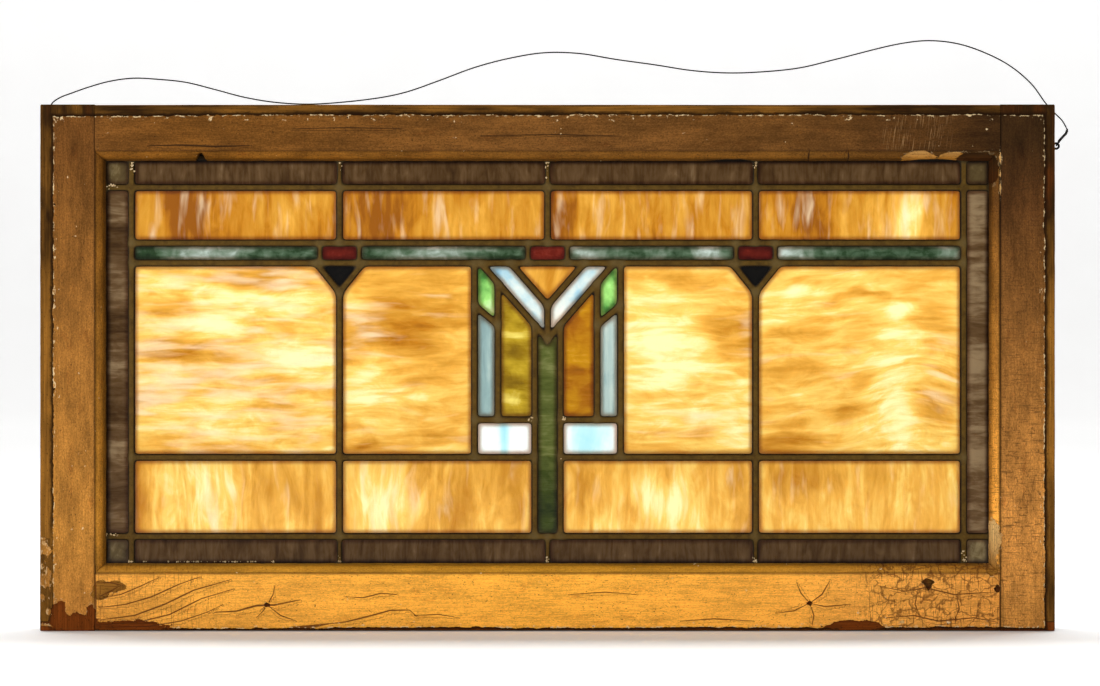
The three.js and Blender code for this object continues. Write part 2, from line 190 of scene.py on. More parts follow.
# Making pieces
def rgb(red, green, blue):
    """A colour given in the 0 to 255 of a screen, as the shaders want it."""
    parts = [part / 255 for part in (red, green, blue)]
    linear = [part / 12.92 if part < 0.04045 else ((part + 0.055) / 1.055) ** 2.4 for part in parts]
    return (*linear, 1)


VALUE_KINDS = {1: ("FLOAT", "value"), 3: ("FLOAT_VECTOR", "vector"), 4: ("FLOAT_COLOR", "color")}
MERGE_DISTANCE = 0.002


def add_piece(name, vertices, faces, material, replaced, values=(), sharp=50):
    """A mesh piece that rides with the window. vertices are millimetres, values are named arrays with one
    number, vector or colour for each vertex, and edges over the sharp angle in degrees stay crisp."""
    vertices = np.asarray(vertices, float)
    mesh = bpy.data.meshes.new(name)
    mesh.from_pydata((vertices * MM).tolist(), [], faces)
    for key, numbers in dict(values).items():
        numbers = np.asarray(numbers, float)
        kind, field = VALUE_KINDS[numbers.size // len(vertices)]
        mesh.attributes.new(key, kind, "POINT").data.foreach_set(field, numbers.ravel())
    clean = bmesh.new()
    clean.from_mesh(mesh)
    bmesh.ops.remove_doubles(clean, verts=clean.verts, dist=MERGE_DISTANCE * MM)
    bmesh.ops.recalc_face_normals(clean, faces=clean.faces)
    clean.to_mesh(mesh)
    clean.free()
    mesh.polygons.foreach_set("use_smooth", [True] * len(mesh.polygons))
    mesh.set_sharp_from_angle(angle=math.radians(sharp))
    mesh.materials.append(material)
    piece = bpy.data.objects.new(name, mesh)
    bpy.context.scene.collection.objects.link(piece)
    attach(piece, "root")
    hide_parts(*replaced)
    return piece


def unit(vectors):
    """One vector, or each row of several, at a length of 1."""
    return vectors / np.linalg.norm(vectors, axis=-1, keepdims=True)


def sweep(path, radius, sides=8):
    """The vertices and faces of a closed tube along a path of points, with its radius at each point."""
    path = np.asarray(path, float)
    radius = np.broadcast_to(radius, len(path))
    ahead = unit(np.gradient(path, axis=0))
    side = np.cross(ahead[0], [0.3, 0.5, 0.8])
    vertices = []
    for point, way, size in zip(path, ahead, radius):
        side = unit(side - way * np.dot(side, way))
        up = np.cross(way, side)
        for k in range(sides):
            turn = 2 * math.pi * k / sides
            vertices.append(point + size * (math.cos(turn) * side + math.sin(turn) * up))
    faces = []
    for i in range(len(path) - 1):
        here, there = i * sides, (i + 1) * sides
        for k in range(sides):
            after = (k + 1) % sides
            faces.append((here + k, here + after, there + after, there + k))
    last = (len(path) - 1) * sides
    faces.append(tuple(range(sides))[::-1])
    faces.append(tuple(last + k for k in range(sides)))
    return vertices, faces


def gather(*parts):
    """Several vertex and face lists as one."""
    vertices, faces = [], []
    for part_vertices, part_faces in parts:
        start = len(vertices)
        vertices.extend(part_vertices)
        faces.extend(tuple(start + corner for corner in face) for face in part_faces)
    return vertices, faces


# Hanging wire. Its route repeats the solid's: across from the middle of the sash, behind its back face
# and above its top edge.
WIRE_DIAMETER = 1.3
WIRE_TRIM = 0.03
STRAND_RISE = 0.72
TWIST_TURN = 4.2
EYE_WIRE = 2
EYE_RING = 7
EYE_REACH = 5.9
EYE_SHANK = 17
EYE_TURNS = np.radians(np.linspace(-172, 166, 48))
EYE_SIDES = 12
SHANK_STEPS = 40
THREAD_STEPS = 34
THREAD_RELIEF = 0.12
THREAD_ROOT = 0.1
THREAD_TURN = 1.9
LOOP_DIAMETER = 4.2
LOOP_TURNS = np.linspace(0.25, 2 * math.pi - 0.25, 28)
TWIST_STEPS = 60
SHORT_STRAND_STEPS = 52
TWIST_TUCK = 4
ROUTE_STEPS = 8
WIRE_ROUTE = [
    (-455.2, 4.9, -15),
    (-456.2, 4.9, -5),
    (-453.1, 4.9, 4.2),
    (-445.8, 4.7, 9.5),
    (-434.7, 4.5, 13.8),
    (-418.3, 4.3, 19.5),
    (-399.9, 4.1, 24.5),
    (-378.9, 3.9, 27.2),
    (-356, 3.7, 26.2),
    (-330.4, 3.5, 23.4),
    (-303.9, 3.3, 16.8),
    (-276.4, 3.1, 9.6),
    (-249, 2.9, 5.1),
    (-218.8, 2.7, 3.4),
    (-185, 2.5, 5.4),
    (-149.4, 2.5, 9.9),
    (-127.5, 2.5, 14.9),
    (-98.2, 2.5, 25.2),
    (-66.3, 2.5, 37),
    (-34.3, 2.5, 45.4),
    (-2.3, 2.5, 50.4),
    (29.7, 2.5, 49.6),
    (61.6, 2.5, 44.4),
    (98.2, 2.5, 39.3),
    (132, 2.5, 34.1),
    (164.9, 2.5, 31.9),
    (198.7, 2.5, 33.1),
    (230.6, 2.5, 36.6),
    (263.5, 2.5, 44.4),
    (322, 2.5, 58.6),
    (349.4, 2.5, 61.4),
    (376.8, 2.5, 58.1),
    (404.2, 2.5, 48.3),
    (424.3, 2.5, 37.1),
    (442.6, 2.5, 21.2),
    (454.9, 2.7, 4.5),
    (463.7, 2.9, -5.1),
    (469.8, 2.1, -11.4),
    (473.5, 0.7, -18.1),
]


def eye_ring_centre(node, axis):
    """The middle of a screw eye's ring, which is at the high end of the solid along one axis."""
    low, high = (np.array(corner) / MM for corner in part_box(node))
    centre = (low + high) / 2
    centre[axis] = high[axis] - EYE_RING / 2
    return centre


def screw_eye(name, axis, material):
    """A bent wire ring, not quite closed, on a threaded shank that points back along the axis. Returns
    the ring's centre."""
    centre = eye_ring_centre(name, axis)
    away = np.zeros(3)
    away[axis] = 1
    rise = np.array([0, 0, 1.0])
    radius = (EYE_RING - EYE_WIRE) / 2
    ring = [centre + radius * (math.cos(t) * away + math.sin(t) * rise) for t in EYE_TURNS]
    neck = [centre - away * (EYE_REACH + k) for k in np.linspace(EYE_SHANK - 0.4, -2.2, SHANK_STEPS)]
    step = np.arange(SHANK_STEPS)
    point = np.minimum(1, 0.15 + step / 7)
    thread = THREAD_RELIEF * np.sin(step * THREAD_TURN) * (step < THREAD_STEPS)
    sizes = [*(EYE_WIRE / 2 * point + thread - THREAD_ROOT), *[EYE_WIRE / 2] * len(ring)]
    vertices, faces = sweep([*neck, *ring], sizes, EYE_SIDES)
    add_piece(name + "_bent", vertices, faces, material, [name])
    return centre


def bezier(points, steps):
    """A cubic curve from the first point to the last, drawn by the two between them."""
    part = np.linspace(0, 1, steps)
    weights = [(1 - part) ** 3, 3 * part * (1 - part) ** 2, 3 * part ** 2 * (1 - part), part ** 3]
    return sum(weight[:, None] * point for weight, point in zip(weights, points))


def wire_twist(name, node, ring_centre, ring_axis, wire_end, wire_away, material):
    """The wire's end: a loop through the ring, then two strands laid round each other."""
    tail_end = wire_end - wire_away * 0.3
    pull = tail_end - ring_centre
    pull = unit(pull - ring_axis * np.dot(pull, ring_axis))
    loop_radius = LOOP_DIAMETER / 2
    loop_centre = ring_centre + pull * (EYE_RING - EYE_WIRE) / 2
    start = loop_centre + pull * loop_radius
    reach = np.linalg.norm(start - tail_end) / 3
    line = bezier([start, start + pull * reach, tail_end - wire_away * reach, tail_end], TWIST_STEPS)
    ahead = unit(np.gradient(line, axis=0))
    side = unit(np.cross(ahead, pull + np.array([0.2, 0.4, 0.1])))
    up = np.cross(ahead, side)
    run = np.concatenate([[0], np.cumsum(np.linalg.norm(np.diff(line, axis=0), axis=1))])
    strands = []
    for phase, steps, tuck in ((0, TWIST_STEPS, 0.8), (math.pi, SHORT_STRAND_STEPS, 0)):
        turn = (phase + run / TWIST_TURN * 2 * math.pi)[:, None]
        fade = (1 - tuck * smooth(run, run[-1] - TWIST_TUCK, run[-1]))[:, None]
        strand = line + STRAND_RISE * fade * (np.cos(turn) * side + np.sin(turn) * up)
        strands.append(sweep(strand[:steps], WIRE_DIAMETER / 2))
    loop = [loop_centre + loop_radius * (math.cos(t) * pull + math.sin(t) * ring_axis) for t in LOOP_TURNS]
    vertices, faces = gather(*strands, sweep(loop, WIRE_DIAMETER / 2))
    return add_piece(name, vertices, faces, material, [node])


def build_hanging(material):
    route = np.array([(x, back_y + behind, sash_height + above) for x, behind, above in WIRE_ROUTE])
    path = catmull_rom(route, ROUTE_STEPS)
    vertices, faces = sweep(path, WIRE_DIAMETER / 2 - WIRE_TRIM)
    wire = add_piece("wire", vertices, faces, material, ["hanging_wire"])
    right_centre = screw_eye("screw_eye_right", X, material)
    left_centre = screw_eye("screw_eye_left", Y, material)
    twists = [
        wire_twist("twist_left", "wire_twist_left", left_centre, np.array([1.0, 0, 0]),
                   path[0], unit(path[1] - path[0]), material),
        wire_twist("twist_right", "wire_twist_right", right_centre, np.array([0, 1.0, 0]),
                   path[-1], unit(path[-2] - path[-1]), material),
    ]


# Shaders
class Shader:
    """A material and short calls that add nodes to it."""

    def __init__(self, name):
        self.material = bpy.data.materials.new(name)
        self.material.use_nodes = True
        self.tree = self.material.node_tree
        self.surface = self.tree.nodes["Principled BSDF"]

    def feed(self, socket, value):
        if isinstance(value, bpy.types.NodeSocket):
            self.tree.links.new(value, socket)
        else:
            socket.default_value = value

    def add(self, kind, inputs=(), **settings):
        node = self.tree.nodes.new(kind)
        for key, value in settings.items():
            setattr(node, key, value)
        for key, value in dict(inputs).items():
            self.feed(node.inputs[key], value)
        return node

    def value(self, name):
        return self.add("ShaderNodeAttribute", attribute_name=name).outputs["Fac"]

    def vector(self, name):
        return self.add("ShaderNodeAttribute", attribute_name=name).outputs["Vector"]

    def colour(self, name):
        return self.add("ShaderNodeAttribute", attribute_name=name).outputs["Color"]

    def place(self):
        """The point on the window, in millimetres."""
        point = self.add("ShaderNodeTexCoord").outputs["Object"]
        return self.stretch(point, (1000, 1000, 1000))

    def stretch(self, vector, sizes):
        return self.add("ShaderNodeVectorMath", {0: vector, 1: sizes}, operation="MULTIPLY").outputs[0]

    def in_cells(self, vector, cell):
        """A vector counted in cells, of one size or of three."""
        sizes = cell if isinstance(cell, tuple) else (cell, cell, cell)
        return self.stretch(vector, tuple(1 / size for size in sizes))

    def noise(self, vector, cell, detail=3, roughness=0.55, distortion=0.0):
        """Noise with its cell sizes in the vector's own units."""
        scaled = self.in_cells(vector, cell)
        inputs = {"Vector": scaled, "Scale": 1, "Detail": detail, "Roughness": roughness,
                  "Distortion": distortion}
        return self.add("ShaderNodeTexNoise", inputs).outputs["Fac"]

    def cells(self, vector, cell, feature="DISTANCE_TO_EDGE", out="Distance"):
        scaled = self.in_cells(vector, cell)
        return self.add("ShaderNodeTexVoronoi", {"Vector": scaled, "Scale": 1}, feature=feature).outputs[out]

    def remap(self, value, low, high, to_low=0.0, to_high=1.0):
        inputs = {"Value": value, "From Min": low, "From Max": high, "To Min": to_low, "To Max": to_high}
        return self.add("ShaderNodeMapRange", inputs, interpolation_type="SMOOTHSTEP").outputs["Result"]

    def math(self, operation, first, second=0.0, clamp=False):
        node = self.add("ShaderNodeMath", {0: first, 1: second}, operation=operation, use_clamp=clamp)
        return node.outputs[0]

    def times(self, first, second):
        return self.math("MULTIPLY", first, second)

    def plus(self, first, second):
        return self.math("ADD", first, second)

    def shift(self, vector, by):
        return self.add("ShaderNodeVectorMath", {0: vector, 1: by}, operation="ADD").outputs[0]

    def part(self, vector, axis):
        return self.add("ShaderNodeSeparateXYZ", {0: vector}).outputs[axis]

    def mix(self, factor, first, second, blend="MIX"):
        node = self.add("ShaderNodeMix", {0: factor, 6: first, 7: second}, data_type="RGBA", blend_type=blend)
        return node.outputs[2]

    def ramp(self, value, stops):
        node = self.add("ShaderNodeValToRGB", {"Fac": value})
        band = node.color_ramp
        while len(band.elements) < len(stops):
            band.elements.new(0.5)
        for element, (place, colour) in zip(band.elements, stops):
            element.position = place
            element.color = colour
        return node.outputs["Color"]

    def tint(self, colour, by):
        """One colour multiplied by another."""
        return self.mix(1, colour, by, "MULTIPLY")

    def shade(self, colour, value, low, high):
        """A colour multiplied by a grey that goes from low to high with the value."""
        return self.tint(colour, self.ramp(value, [(0, (low, low, low, 1)), (1, (high, high, high, 1))]))

    def finish(self, colour, roughness, height=None, relief=0.1, **settings):
        """Feeds the surface. relief is the height in millimetres that a value of 1 stands for."""
        self.feed(self.surface.inputs["Base Color"], colour)
        self.feed(self.surface.inputs["Roughness"], roughness)
        for key, value in settings.items():
            self.surface.inputs[key.replace("_", " ")].default_value = value
        if height is not None:
            inputs = {"Height": height, "Distance": relief * MM, "Strength": 1}
            bump = self.add("ShaderNodeBump", inputs)
            self.tree.links.new(bump.outputs["Normal"], self.surface.inputs["Normal"])
        return self.material


# The paint's layers of noise: size along, across and into the grain in millimetres, octaves, roughness
PAINT_NOISES = {
    "mottle": ((46, 17, 17), 6, 0.62),
    "streak": ((30, 1.2, 1.2), 5, 0.68),
    "fine": ((4, 0.6, 0.6), 3, 0.6),
    "grit": ((1.6, 1.3, 1.3), 3, 0.6),
    "speck": ((1.9, 1.2, 1.2), 2, 0.5),
    "pore": ((5.5, 0.9, 0.9), 2, 0.6),
    "stain": ((24, 9, 9), 5, 0.7),
    "hair": ((0.8, 13, 13), 2, 0.5),
    "ragged": ((2.6, 1.4, 1.4), 3, 0.6),
    "gap": ((12, 8, 8), 3, 0.6),
    "flake": ((5, 3, 3), 3, 0.6),
    "figure": ((70, 0.9, 0.9), 4, 0.7),
}
STAIN_TINT = rgb(196, 150, 120)
SCUFFED = rgb(168, 128, 82)
CHALKY = rgb(222, 194, 146)
WOOD_AGES = [
    (0, rgb(116, 56, 15)),
    (0.33, rgb(47, 29, 10)),
    (0.66, rgb(156, 104, 38)),
    (1, rgb(232, 188, 120)),
]
WOOD_SPECK = rgb(40, 24, 8)
WOOD_DIRT_AND_SHADE = rgb(34, 19, 6)
SCUFF_SLANT = 0.14
NET_BEND = 9


def paint_coat(s, noise, craze_colour, dapple):
    """The coat's colour: mottled, brushed, gritty, stained, specked and finely split across the grain."""
    coat = s.shade(s.colour("tone"), s.remap(noise["mottle"], 0.3, 0.7), 1 - 0.28 * dapple, 1 + 0.28 * dapple)
    coat = s.shade(coat, s.remap(noise["streak"], 0.3, 0.7), 0.84, 1.14)
    coat = s.shade(coat, s.remap(noise["fine"], 0.3, 0.7), 0.86, 1.13)
    coat = s.shade(coat, s.remap(noise["grit"], 0.32, 0.68), 1 - 0.22 * dapple, 1 + 0.2 * dapple)
    coat = s.mix(s.remap(noise["stain"], 0.54, 0.74, 0, 0.42), coat, s.tint(coat, STAIN_TINT))
    coat = s.mix(s.remap(noise["pore"], 0.66, 0.76, 0, 0.5), coat, craze_colour)
    coat = s.mix(s.remap(noise["speck"], 0.65, 0.73, 0, 0.8), coat, craze_colour)
    crazed = s.remap(s.plus(s.value("craze"), s.times(noise["mottle"], 0.4)), 0.4, 0.75)
    hair = s.times(s.remap(noise["hair"], 0.57, 0.66), crazed)
    return s.mix(s.times(hair, 0.7), coat, craze_colour)


def scuff_marks(s, grain, noise):
    """Pale scratches that lean across the grain."""
    slide = s.add("ShaderNodeCombineXYZ", {"X": s.times(s.part(grain, "Y"), SCUFF_SLANT)}).outputs[0]
    scratch = s.remap(s.noise(s.shift(grain, slide), (0.7, 24, 24), 2, 0.5), 0.56, 0.68)
    return s.times(scratch, s.times(s.value("scuff"), s.remap(noise["stain"], 0.32, 0.55)))


def split_lines(s, grain, noise):
    """Where paint and wood are split: the mesh's own cracks and a net of craze lines."""
    wander = s.add("ShaderNodeTexNoise", {"Vector": s.stretch(grain, (0.14, 0.14, 0.14)), "Scale": 1})
    bent = s.shift(grain, s.stretch(wander.outputs["Color"], (NET_BEND, NET_BEND, NET_BEND)))
    width = s.remap(noise["gap"], 0.36, 0.62, 0.012, 0.13)
    uneven = s.times(noise["ragged"], 0.5)
    net = s.times(s.remap(s.cells(bent, (16, 9, 9)), 0, width, 1, 0),
                  s.remap(s.plus(s.value("craze"), uneven), 0.62, 0.85))
    crack = s.remap(s.math("ABSOLUTE", s.plus(s.value("crack"), uneven)), 0.6, 1.3, 1, 0)
    return s.math("MAXIMUM", crack, s.times(net, 0.8))


def paint_material(name, craze_colour, gloss, dapple=1.0):
    """Old cracked paint over bare wood. The wood and the losses are placed by the mesh's own values."""
    s = Shader(name)
    grain = s.vector("grain")
    chalk = s.value("chalk")
    noise = {key: s.noise(grain, *row) for key, row in PAINT_NOISES.items()}
    line = split_lines(s, grain, noise)
    coat = paint_coat(s, noise, craze_colour, dapple)
    coat = s.mix(scuff_marks(s, grain, noise), coat, SCUFFED)
    coat = s.mix(s.times(line, 0.88), coat, craze_colour)

    # How deep a spot is inside the bare wood, with a flaked edge
    level = s.plus(s.value("bare"), s.plus(s.times(noise["ragged"], 2.4), -1.2))
    lost = s.remap(level, -0.12, 0.12)
    rim = s.times(s.remap(level, -0.95, -0.6), s.remap(noise["flake"], 0.5, 0.58))
    # A dark line of dirt and painted shadow in the bare wood along the paint's edge
    dirt_and_shade = s.times(lost, s.remap(level, 1.0, 4.2, 0.9, 0))
    wood = s.shade(s.ramp(s.value("age"), WOOD_AGES), s.remap(noise["figure"], 0.3, 0.7), 0.6, 1.36)
    wood = s.mix(s.remap(noise["speck"], 0.6, 0.7, 0, 0.6), wood, WOOD_SPECK)
    wood = s.mix(s.times(dirt_and_shade, chalk), wood, WOOD_DIRT_AND_SHADE)
    wood = s.mix(s.times(line, 0.75), wood, craze_colour)
    colour = s.mix(s.times(s.times(rim, chalk), 0.9), coat, CHALKY)
    colour = s.mix(lost, colour, wood)

    rough = s.plus(s.remap(lost, 0, 1, gloss, 0.85), s.times(noise["fine"], 0.12))
    height = s.plus(s.times(noise["streak"], 0.5), s.times(noise["fine"], 0.25))
    height = s.math("SUBTRACT", height, s.times(line, 1.2))
    height = s.math("SUBTRACT", height, s.times(lost, 1.4))
    return s.finish(colour, rough, height, 0.22, Specular_IOR_Level=0.04)


PATINA = [(0.3, rgb(56, 38, 7)), (0.7, rgb(84, 60, 15))]
LEAD_CROWN_WEAR_AND_HIGHLIGHT = rgb(98, 74, 27)
LEAD_EDGE_DIRT_AND_SHADE = rgb(20, 12, 2)
SOLDER_GREY = rgb(96, 80, 46)
LEAD_PIT = rgb(34, 24, 10)


def lead_material(name):
    """Dull lead with dark patina, paler along the crown with wear and a painted highlight, dark along its
    edges with dirt and painted shade, and greyer on the solder.
    """
    s = Shader(name)
    place = s.place()
    crown = s.value("crown")
    mottle = s.noise(place, 14, 4, 0.6)
    grit = s.noise(place, 0.9, 3, 0.6)
    scratch = s.noise(place, 5, 5, 0.7)
    lead = s.ramp(mottle, PATINA)
    # Wear and a painted highlight along the crown
    lead = s.mix(s.times(crown, s.remap(scratch, 0.35, 0.7, 0.1, 0.7)), lead, LEAD_CROWN_WEAR_AND_HIGHLIGHT)
    # Dirt and painted shade along the lead's edges
    lead = s.mix(s.remap(crown, 0.1, 0.97, 0.97, 0), lead, LEAD_EDGE_DIRT_AND_SHADE)
    # Painted shadow where the moulding overhangs the lead
    lead = s.shade(lead, s.value("shade"), 0.22, 1)
    lead = s.mix(s.times(s.value("solder"), s.remap(mottle, 0.3, 0.6, 0.25, 0.7)), lead, SOLDER_GREY)
    lead = s.mix(s.remap(grit, 0.62, 0.72, 0, 0.5), lead, LEAD_PIT)
    rough = s.remap(scratch, 0.3, 0.7, 0.42, 0.68)
    return s.finish(lead, rough, s.plus(scratch, s.times(grit, 0.4)), 0.2, Specular_IOR_Level=0.08)


CAME_DIRT_AND_SHADE_TINT = rgb(150, 96, 40)
GLASS_INDEX = 1.2


def glass_material(name, stops, milk=None, streaks=(64, 8.5), wisps=(24, 3.2), contrast=1.0, clear=0.8,
                   gloss=0.35):
    """Streaky opalescent glass. stops are places from dark to light with their colours, and streaks and
    wisps are the length and width of the two sizes of streak. The mesh's flow holds the streak's own
    coordinates, and its tone the pane's broad light and dark areas."""
    s = Shader(name)
    flow = s.vector("flow")
    length, width = streaks
    broad = s.noise(flow, (length, width, 10), 5, 0.5, 0.4)
    wisp = s.noise(flow, (*wisps, 10), 4, 0.55, 0.5)
    patch = s.noise(flow, (length * 0.55, width * 1.8, 10), 4, 0.55, 0.9)
    mixed = s.plus(s.plus(s.times(broad, 0.4), s.times(wisp, 0.18)), s.times(patch, 0.42))
    spread = s.times(s.math("SUBTRACT", mixed, 0.5), 1.6 * contrast)
    level = s.math("ADD", s.value("tone"), spread, clamp=True)
    colour = s.ramp(level, [(at, rgb(*shade)) for at, *shade in stops])
    if milk:
        cloud = s.noise(flow, (50, 9, 10), 3, 0.5, 0.4)
        cloud = s.remap(s.plus(cloud, s.value("milk")), 0.56, 0.95, 0, 0.75)
        colour = s.mix(cloud, colour, rgb(*milk))
    place = s.place()
    # Dirt and painted shade darken and warm the glass along the lead
    came_dirt_and_shade = s.plus(s.value("rim"), s.times(s.noise(place, 2.4, 3, 0.6), 1.2))
    came_dirt_and_shade = s.remap(came_dirt_and_shade, 1.1, 5.2, 1, 0)
    colour = s.mix(s.times(came_dirt_and_shade, 0.75), colour, s.tint(colour, CAME_DIRT_AND_SHADE_TINT))
    # Painted shadow where the moulding overhangs the glass
    colour = s.shade(colour, s.value("shade"), 0.16, 1)
    seed = s.remap(s.cells(place, 7, "F1"), 0, 0.13, 1, 0)
    height = s.plus(s.noise(place, 3.2, 2, 0.5), s.times(seed, 1.6))
    settings = {
        "Transmission_Weight": clear,
        "IOR": GLASS_INDEX,
        "Specular_IOR_Level": 0.05,
        "Coat_Weight": gloss,
        "Coat_Roughness": 0.06,
    }
    return s.finish(colour, 0.55, height, 0.12, **settings)


PUTTY = [(0.3, rgb(150, 122, 84)), (0.5, rgb(196, 168, 122)), (0.72, rgb(228, 204, 164))]
PUTTY_PIT = rgb(92, 68, 40)


def putty_material(name):
    s = Shader(name)
    place = s.place()
    lump = s.noise(place, 6, 5, 0.65)
    crumb = s.noise(place, 1.2, 3, 0.6)
    colour = s.mix(s.remap(crumb, 0.55, 0.7, 0, 0.7), s.ramp(lump, PUTTY), PUTTY_PIT)
    return s.finish(colour, 0.9, s.plus(lump, s.times(crumb, 0.4)), 0.5)


IRON = [(0.35, rgb(9, 8, 7)), (0.6, rgb(20, 15, 12)), (0.78, rgb(58, 36, 22))]


def iron_material(name):
    s = Shader(name)
    rust = s.noise(s.place(), 2.4, 4, 0.65)
    rough = s.remap(rust, 0.3, 0.7, 0.42, 0.8)
    return s.finish(s.ramp(rust, IRON), rough, rust, 0.12, Metallic=0.1, Specular_IOR_Level=0.12)


STAGE_WHITE = [(0.3, rgb(238, 237, 236)), (0.7, rgb(242, 242, 241))]
GLOW_START, GLOW_END = 1200, 3000
GLOW_NEAR, GLOW_FAR = 0.05, 0.47


def floor_material(name):
    """White stage paint, with a glow that grows towards the wall behind."""
    s = Shader(name)
    place = s.place()
    glow = s.remap(s.part(place, "Y"), GLOW_START, GLOW_END, GLOW_NEAR, GLOW_FAR)
    s.feed(s.surface.inputs["Emission Strength"], glow)
    colour = s.ramp(s.noise(place, 160, 3, 0.5), STAGE_WHITE)
    settings = {"Emission_Color": (1, 1, 1, 1), "Specular_IOR_Level": 0.1}
    return s.finish(colour, 0.8, s.noise(place, 2, 2, 0.5), 0.02, **settings)


# Sash. A member's section runs round it from the back corner of the rebate: across is towards the
# opening, from the line where the flat face meets the moulding.
MOULDING_STEP = 1.2
MOULDING_ROUND = 8
MOULDING_FILLET = 1
MOULDING_STEPS = 13
ARRIS = 4
ALONG_STEP = 1.5


def evenly(zone, start, end, step):
    """Points from start up to, but not at, end."""
    count = max(1, round(math.dist(start, end) / step))
    return [(zone, start[0] + (end[0] - start[0]) * i / count, start[1] + (end[1] - start[1]) * i / count)
            for i in range(count)]


def member_section(face):
    shoulder_y = lead_front - 2 * JOINT
    foot = front_y + MOULDING_STEP + MOULDING_ROUND
    tip = moulding_width
    round_width = tip - MOULDING_FILLET
    points = evenly("rebate", (0, back_y), (0, shoulder_y), 4)
    points += evenly("rebate", (0, shoulder_y), (tip, shoulder_y), 3)
    points += evenly("moulding", (tip, shoulder_y), (tip, foot), 1.3)
    points += evenly("moulding", (tip, foot), (round_width, foot), 0.5)
    for i in range(MOULDING_STEPS):
        angle = math.pi / 2 * (1 - i / MOULDING_STEPS)
        rise = MOULDING_ROUND * (1 - math.cos(angle))
        points.append(("moulding", round_width * math.sin(angle), front_y + MOULDING_STEP + rise))
    points += evenly("moulding", (0, front_y + MOULDING_STEP), (0, front_y), 0.6)
    points += evenly("face", (0, front_y), (-face + ARRIS, front_y), 1.1)
    points += evenly("face", (-face + ARRIS, front_y), (-face, front_y), 0.7)
    points += evenly("edge", (-face, front_y), (-face, front_y + ARRIS), 0.7)
    points += evenly("edge", (-face, front_y + ARRIS), (-face, back_y - ARRIS), 2.2)
    points += evenly("edge", (-face, back_y - ARRIS), (-face, back_y), 1)
    points += evenly("back", (-face, back_y), (0, back_y), 3)
    zones = np.array([point[0] for point in points])
    return zones, np.array([point[1:] for point in points])


# Marks of age on the front, as x and z in millimetres from the middle of the lower edge.
# Cracks: points and width. Dents: middle, half width, half height, depth and age of the wood laid bare.
CRACKS = [
    ([(-403, 10), (-372, 14), (-345, 24), (-318, 37), (-286, 46)], 0.7),
    ([(-404, 5), (-368, 8), (-340, 15), (-312, 29), (-282, 38)], 0.6),
    ([(-404, 21), (-380, 24), (-356, 31), (-332, 42), (-312, 49)], 0.6),
    ([(-404, 29), (-384, 33), (-365, 41), (-350, 48)], 0.5),
    ([(-396, 3), (-360, 4), (-330, 9), (-306, 17), (-292, 24)], 0.5),
    ([(-299, 17), (-280, 18), (-262, 23), (-246, 23.5), (-223, 28)], 0.9),
    ([(-262, 12), (-256, 18), (-252, 24), (-247, 33), (-246, 40)], 0.5),
    ([(-252, 23), (-240, 14), (-226, 9)], 0.5),
    ([(236, 25), (228, 34), (224, 44)], 0.5),
    ([(236, 25), (247, 33), (254, 45)], 0.6),
    ([(236, 25), (250, 22), (272, 24)], 0.5),
    ([(236, 25), (222, 18), (206, 16)], 0.5),
    ([(236, 25), (240, 14), (238, 4)], 0.5),
    ([(300, 40), (322, 36), (340, 39), (366, 33), (402, 35)], 0.6),
    ([(306, 12), (330, 14), (352, 9), (384, 12), (405, 8)], 0.6),
    ([(334, 39), (331, 24), (336, 12)], 0.5),
    ([(368, 33), (371, 20), (366, 9)], 0.5),
    ([(-230, 3.4), (-214, 4.2), (-198, 6.4)], 1.5),
    ([(-200, 6), (-181, 8.4), (-157, 14.4), (-142, 18.6), (-124, 19), (-118, 13)], 0.7),
    ([(-182, 31), (-166, 30), (-150, 34), (-136, 33)], 0.5),
    ([(-120, 14), (-98, 15), (-80, 12)], 0.4),
    ([(20, 33), (52, 35), (80, 33)], 0.4),
    ([(120, 9), (150, 11), (186, 9)], 0.5),
    ([(-358, 437), (-330, 437.6), (-300, 436.4), (-268, 437)], 0.8),
    ([(-230, 452), (-180, 453.2), (-130, 452.2)], 0.4),
    ([(-60, 446), (10, 447), (66, 445.6)], 0.4),
    ([(236, 432), (235.4, 427), (236, 423)], 0.8),
    ([(271, 432), (271.6, 427), (271, 423)], 0.8),
    ([(396.6, 84), (398, 72), (397.2, 58)], 1.5),
    ([(-407.4, -12), (-407, 24), (-407.3, 58)], 0.9),
    ([(407.4, -12), (407.2, 24), (407.4, 56)], 0.6),
    ([(-405, 43), (-394, 43.6), (-382, 41)], 0.6),
    ([(-404, 31), (-395, 35), (-386, 40)], 0.8),
]
DENTS = [
    (335, 423.6, 16, 8.6, 2.6, 0.64),
    (366.5, 424, 14.5, 7, 2.4, 0.63),
    (401.5, 82, 6.5, 19, 2.2, 0.88),
    (400, 60, 6, 9, 1.6, 0.7),
    (342, 44, 6.4, 3.4, 1.2, 0.36),
    (343, 40.5, 2.6, 4.4, 1.2, 0.36),
    (405, 38, 3, 4, 1.6, 0.3),
    (-402, 36, 8.5, 9, 0.6, 0.6),
    (-391, 40, 11, 5, 0.6, 0.57),
    (-424, 6, 19, 10, 0.4, 0.06),
    (-440, 12, 7, 17, 0.4, 0.06),
    (-411, 16, 4, 9, 0.4, 0.06),
    (-252.5, 23.4, 3.4, 2.6, 1.2, 0.25),
    (236, 25, 3, 2.4, 1.2, 0.25),
    (319, 8, 3, 1.6, 0.4, 1),
    (276, 3, 25, 7, 0.8, 0.05),
    (-374, 3, 36, 6.5, 0.8, 0.05),
    (401, 416, 5, 14, 0.8, 0.3),
    (386, 426, 14, 5.5, 0.8, 0.3),
    (407.6, 426, 1, 6, 0.3, 1),
    (407.4, 411, 0.7, 4, 0.3, 1),
    (407.6, 398, 0.9, 6, 0.3, 0.95),
]
CRACK_FAR = 6.0
SMALL_DENT = 8
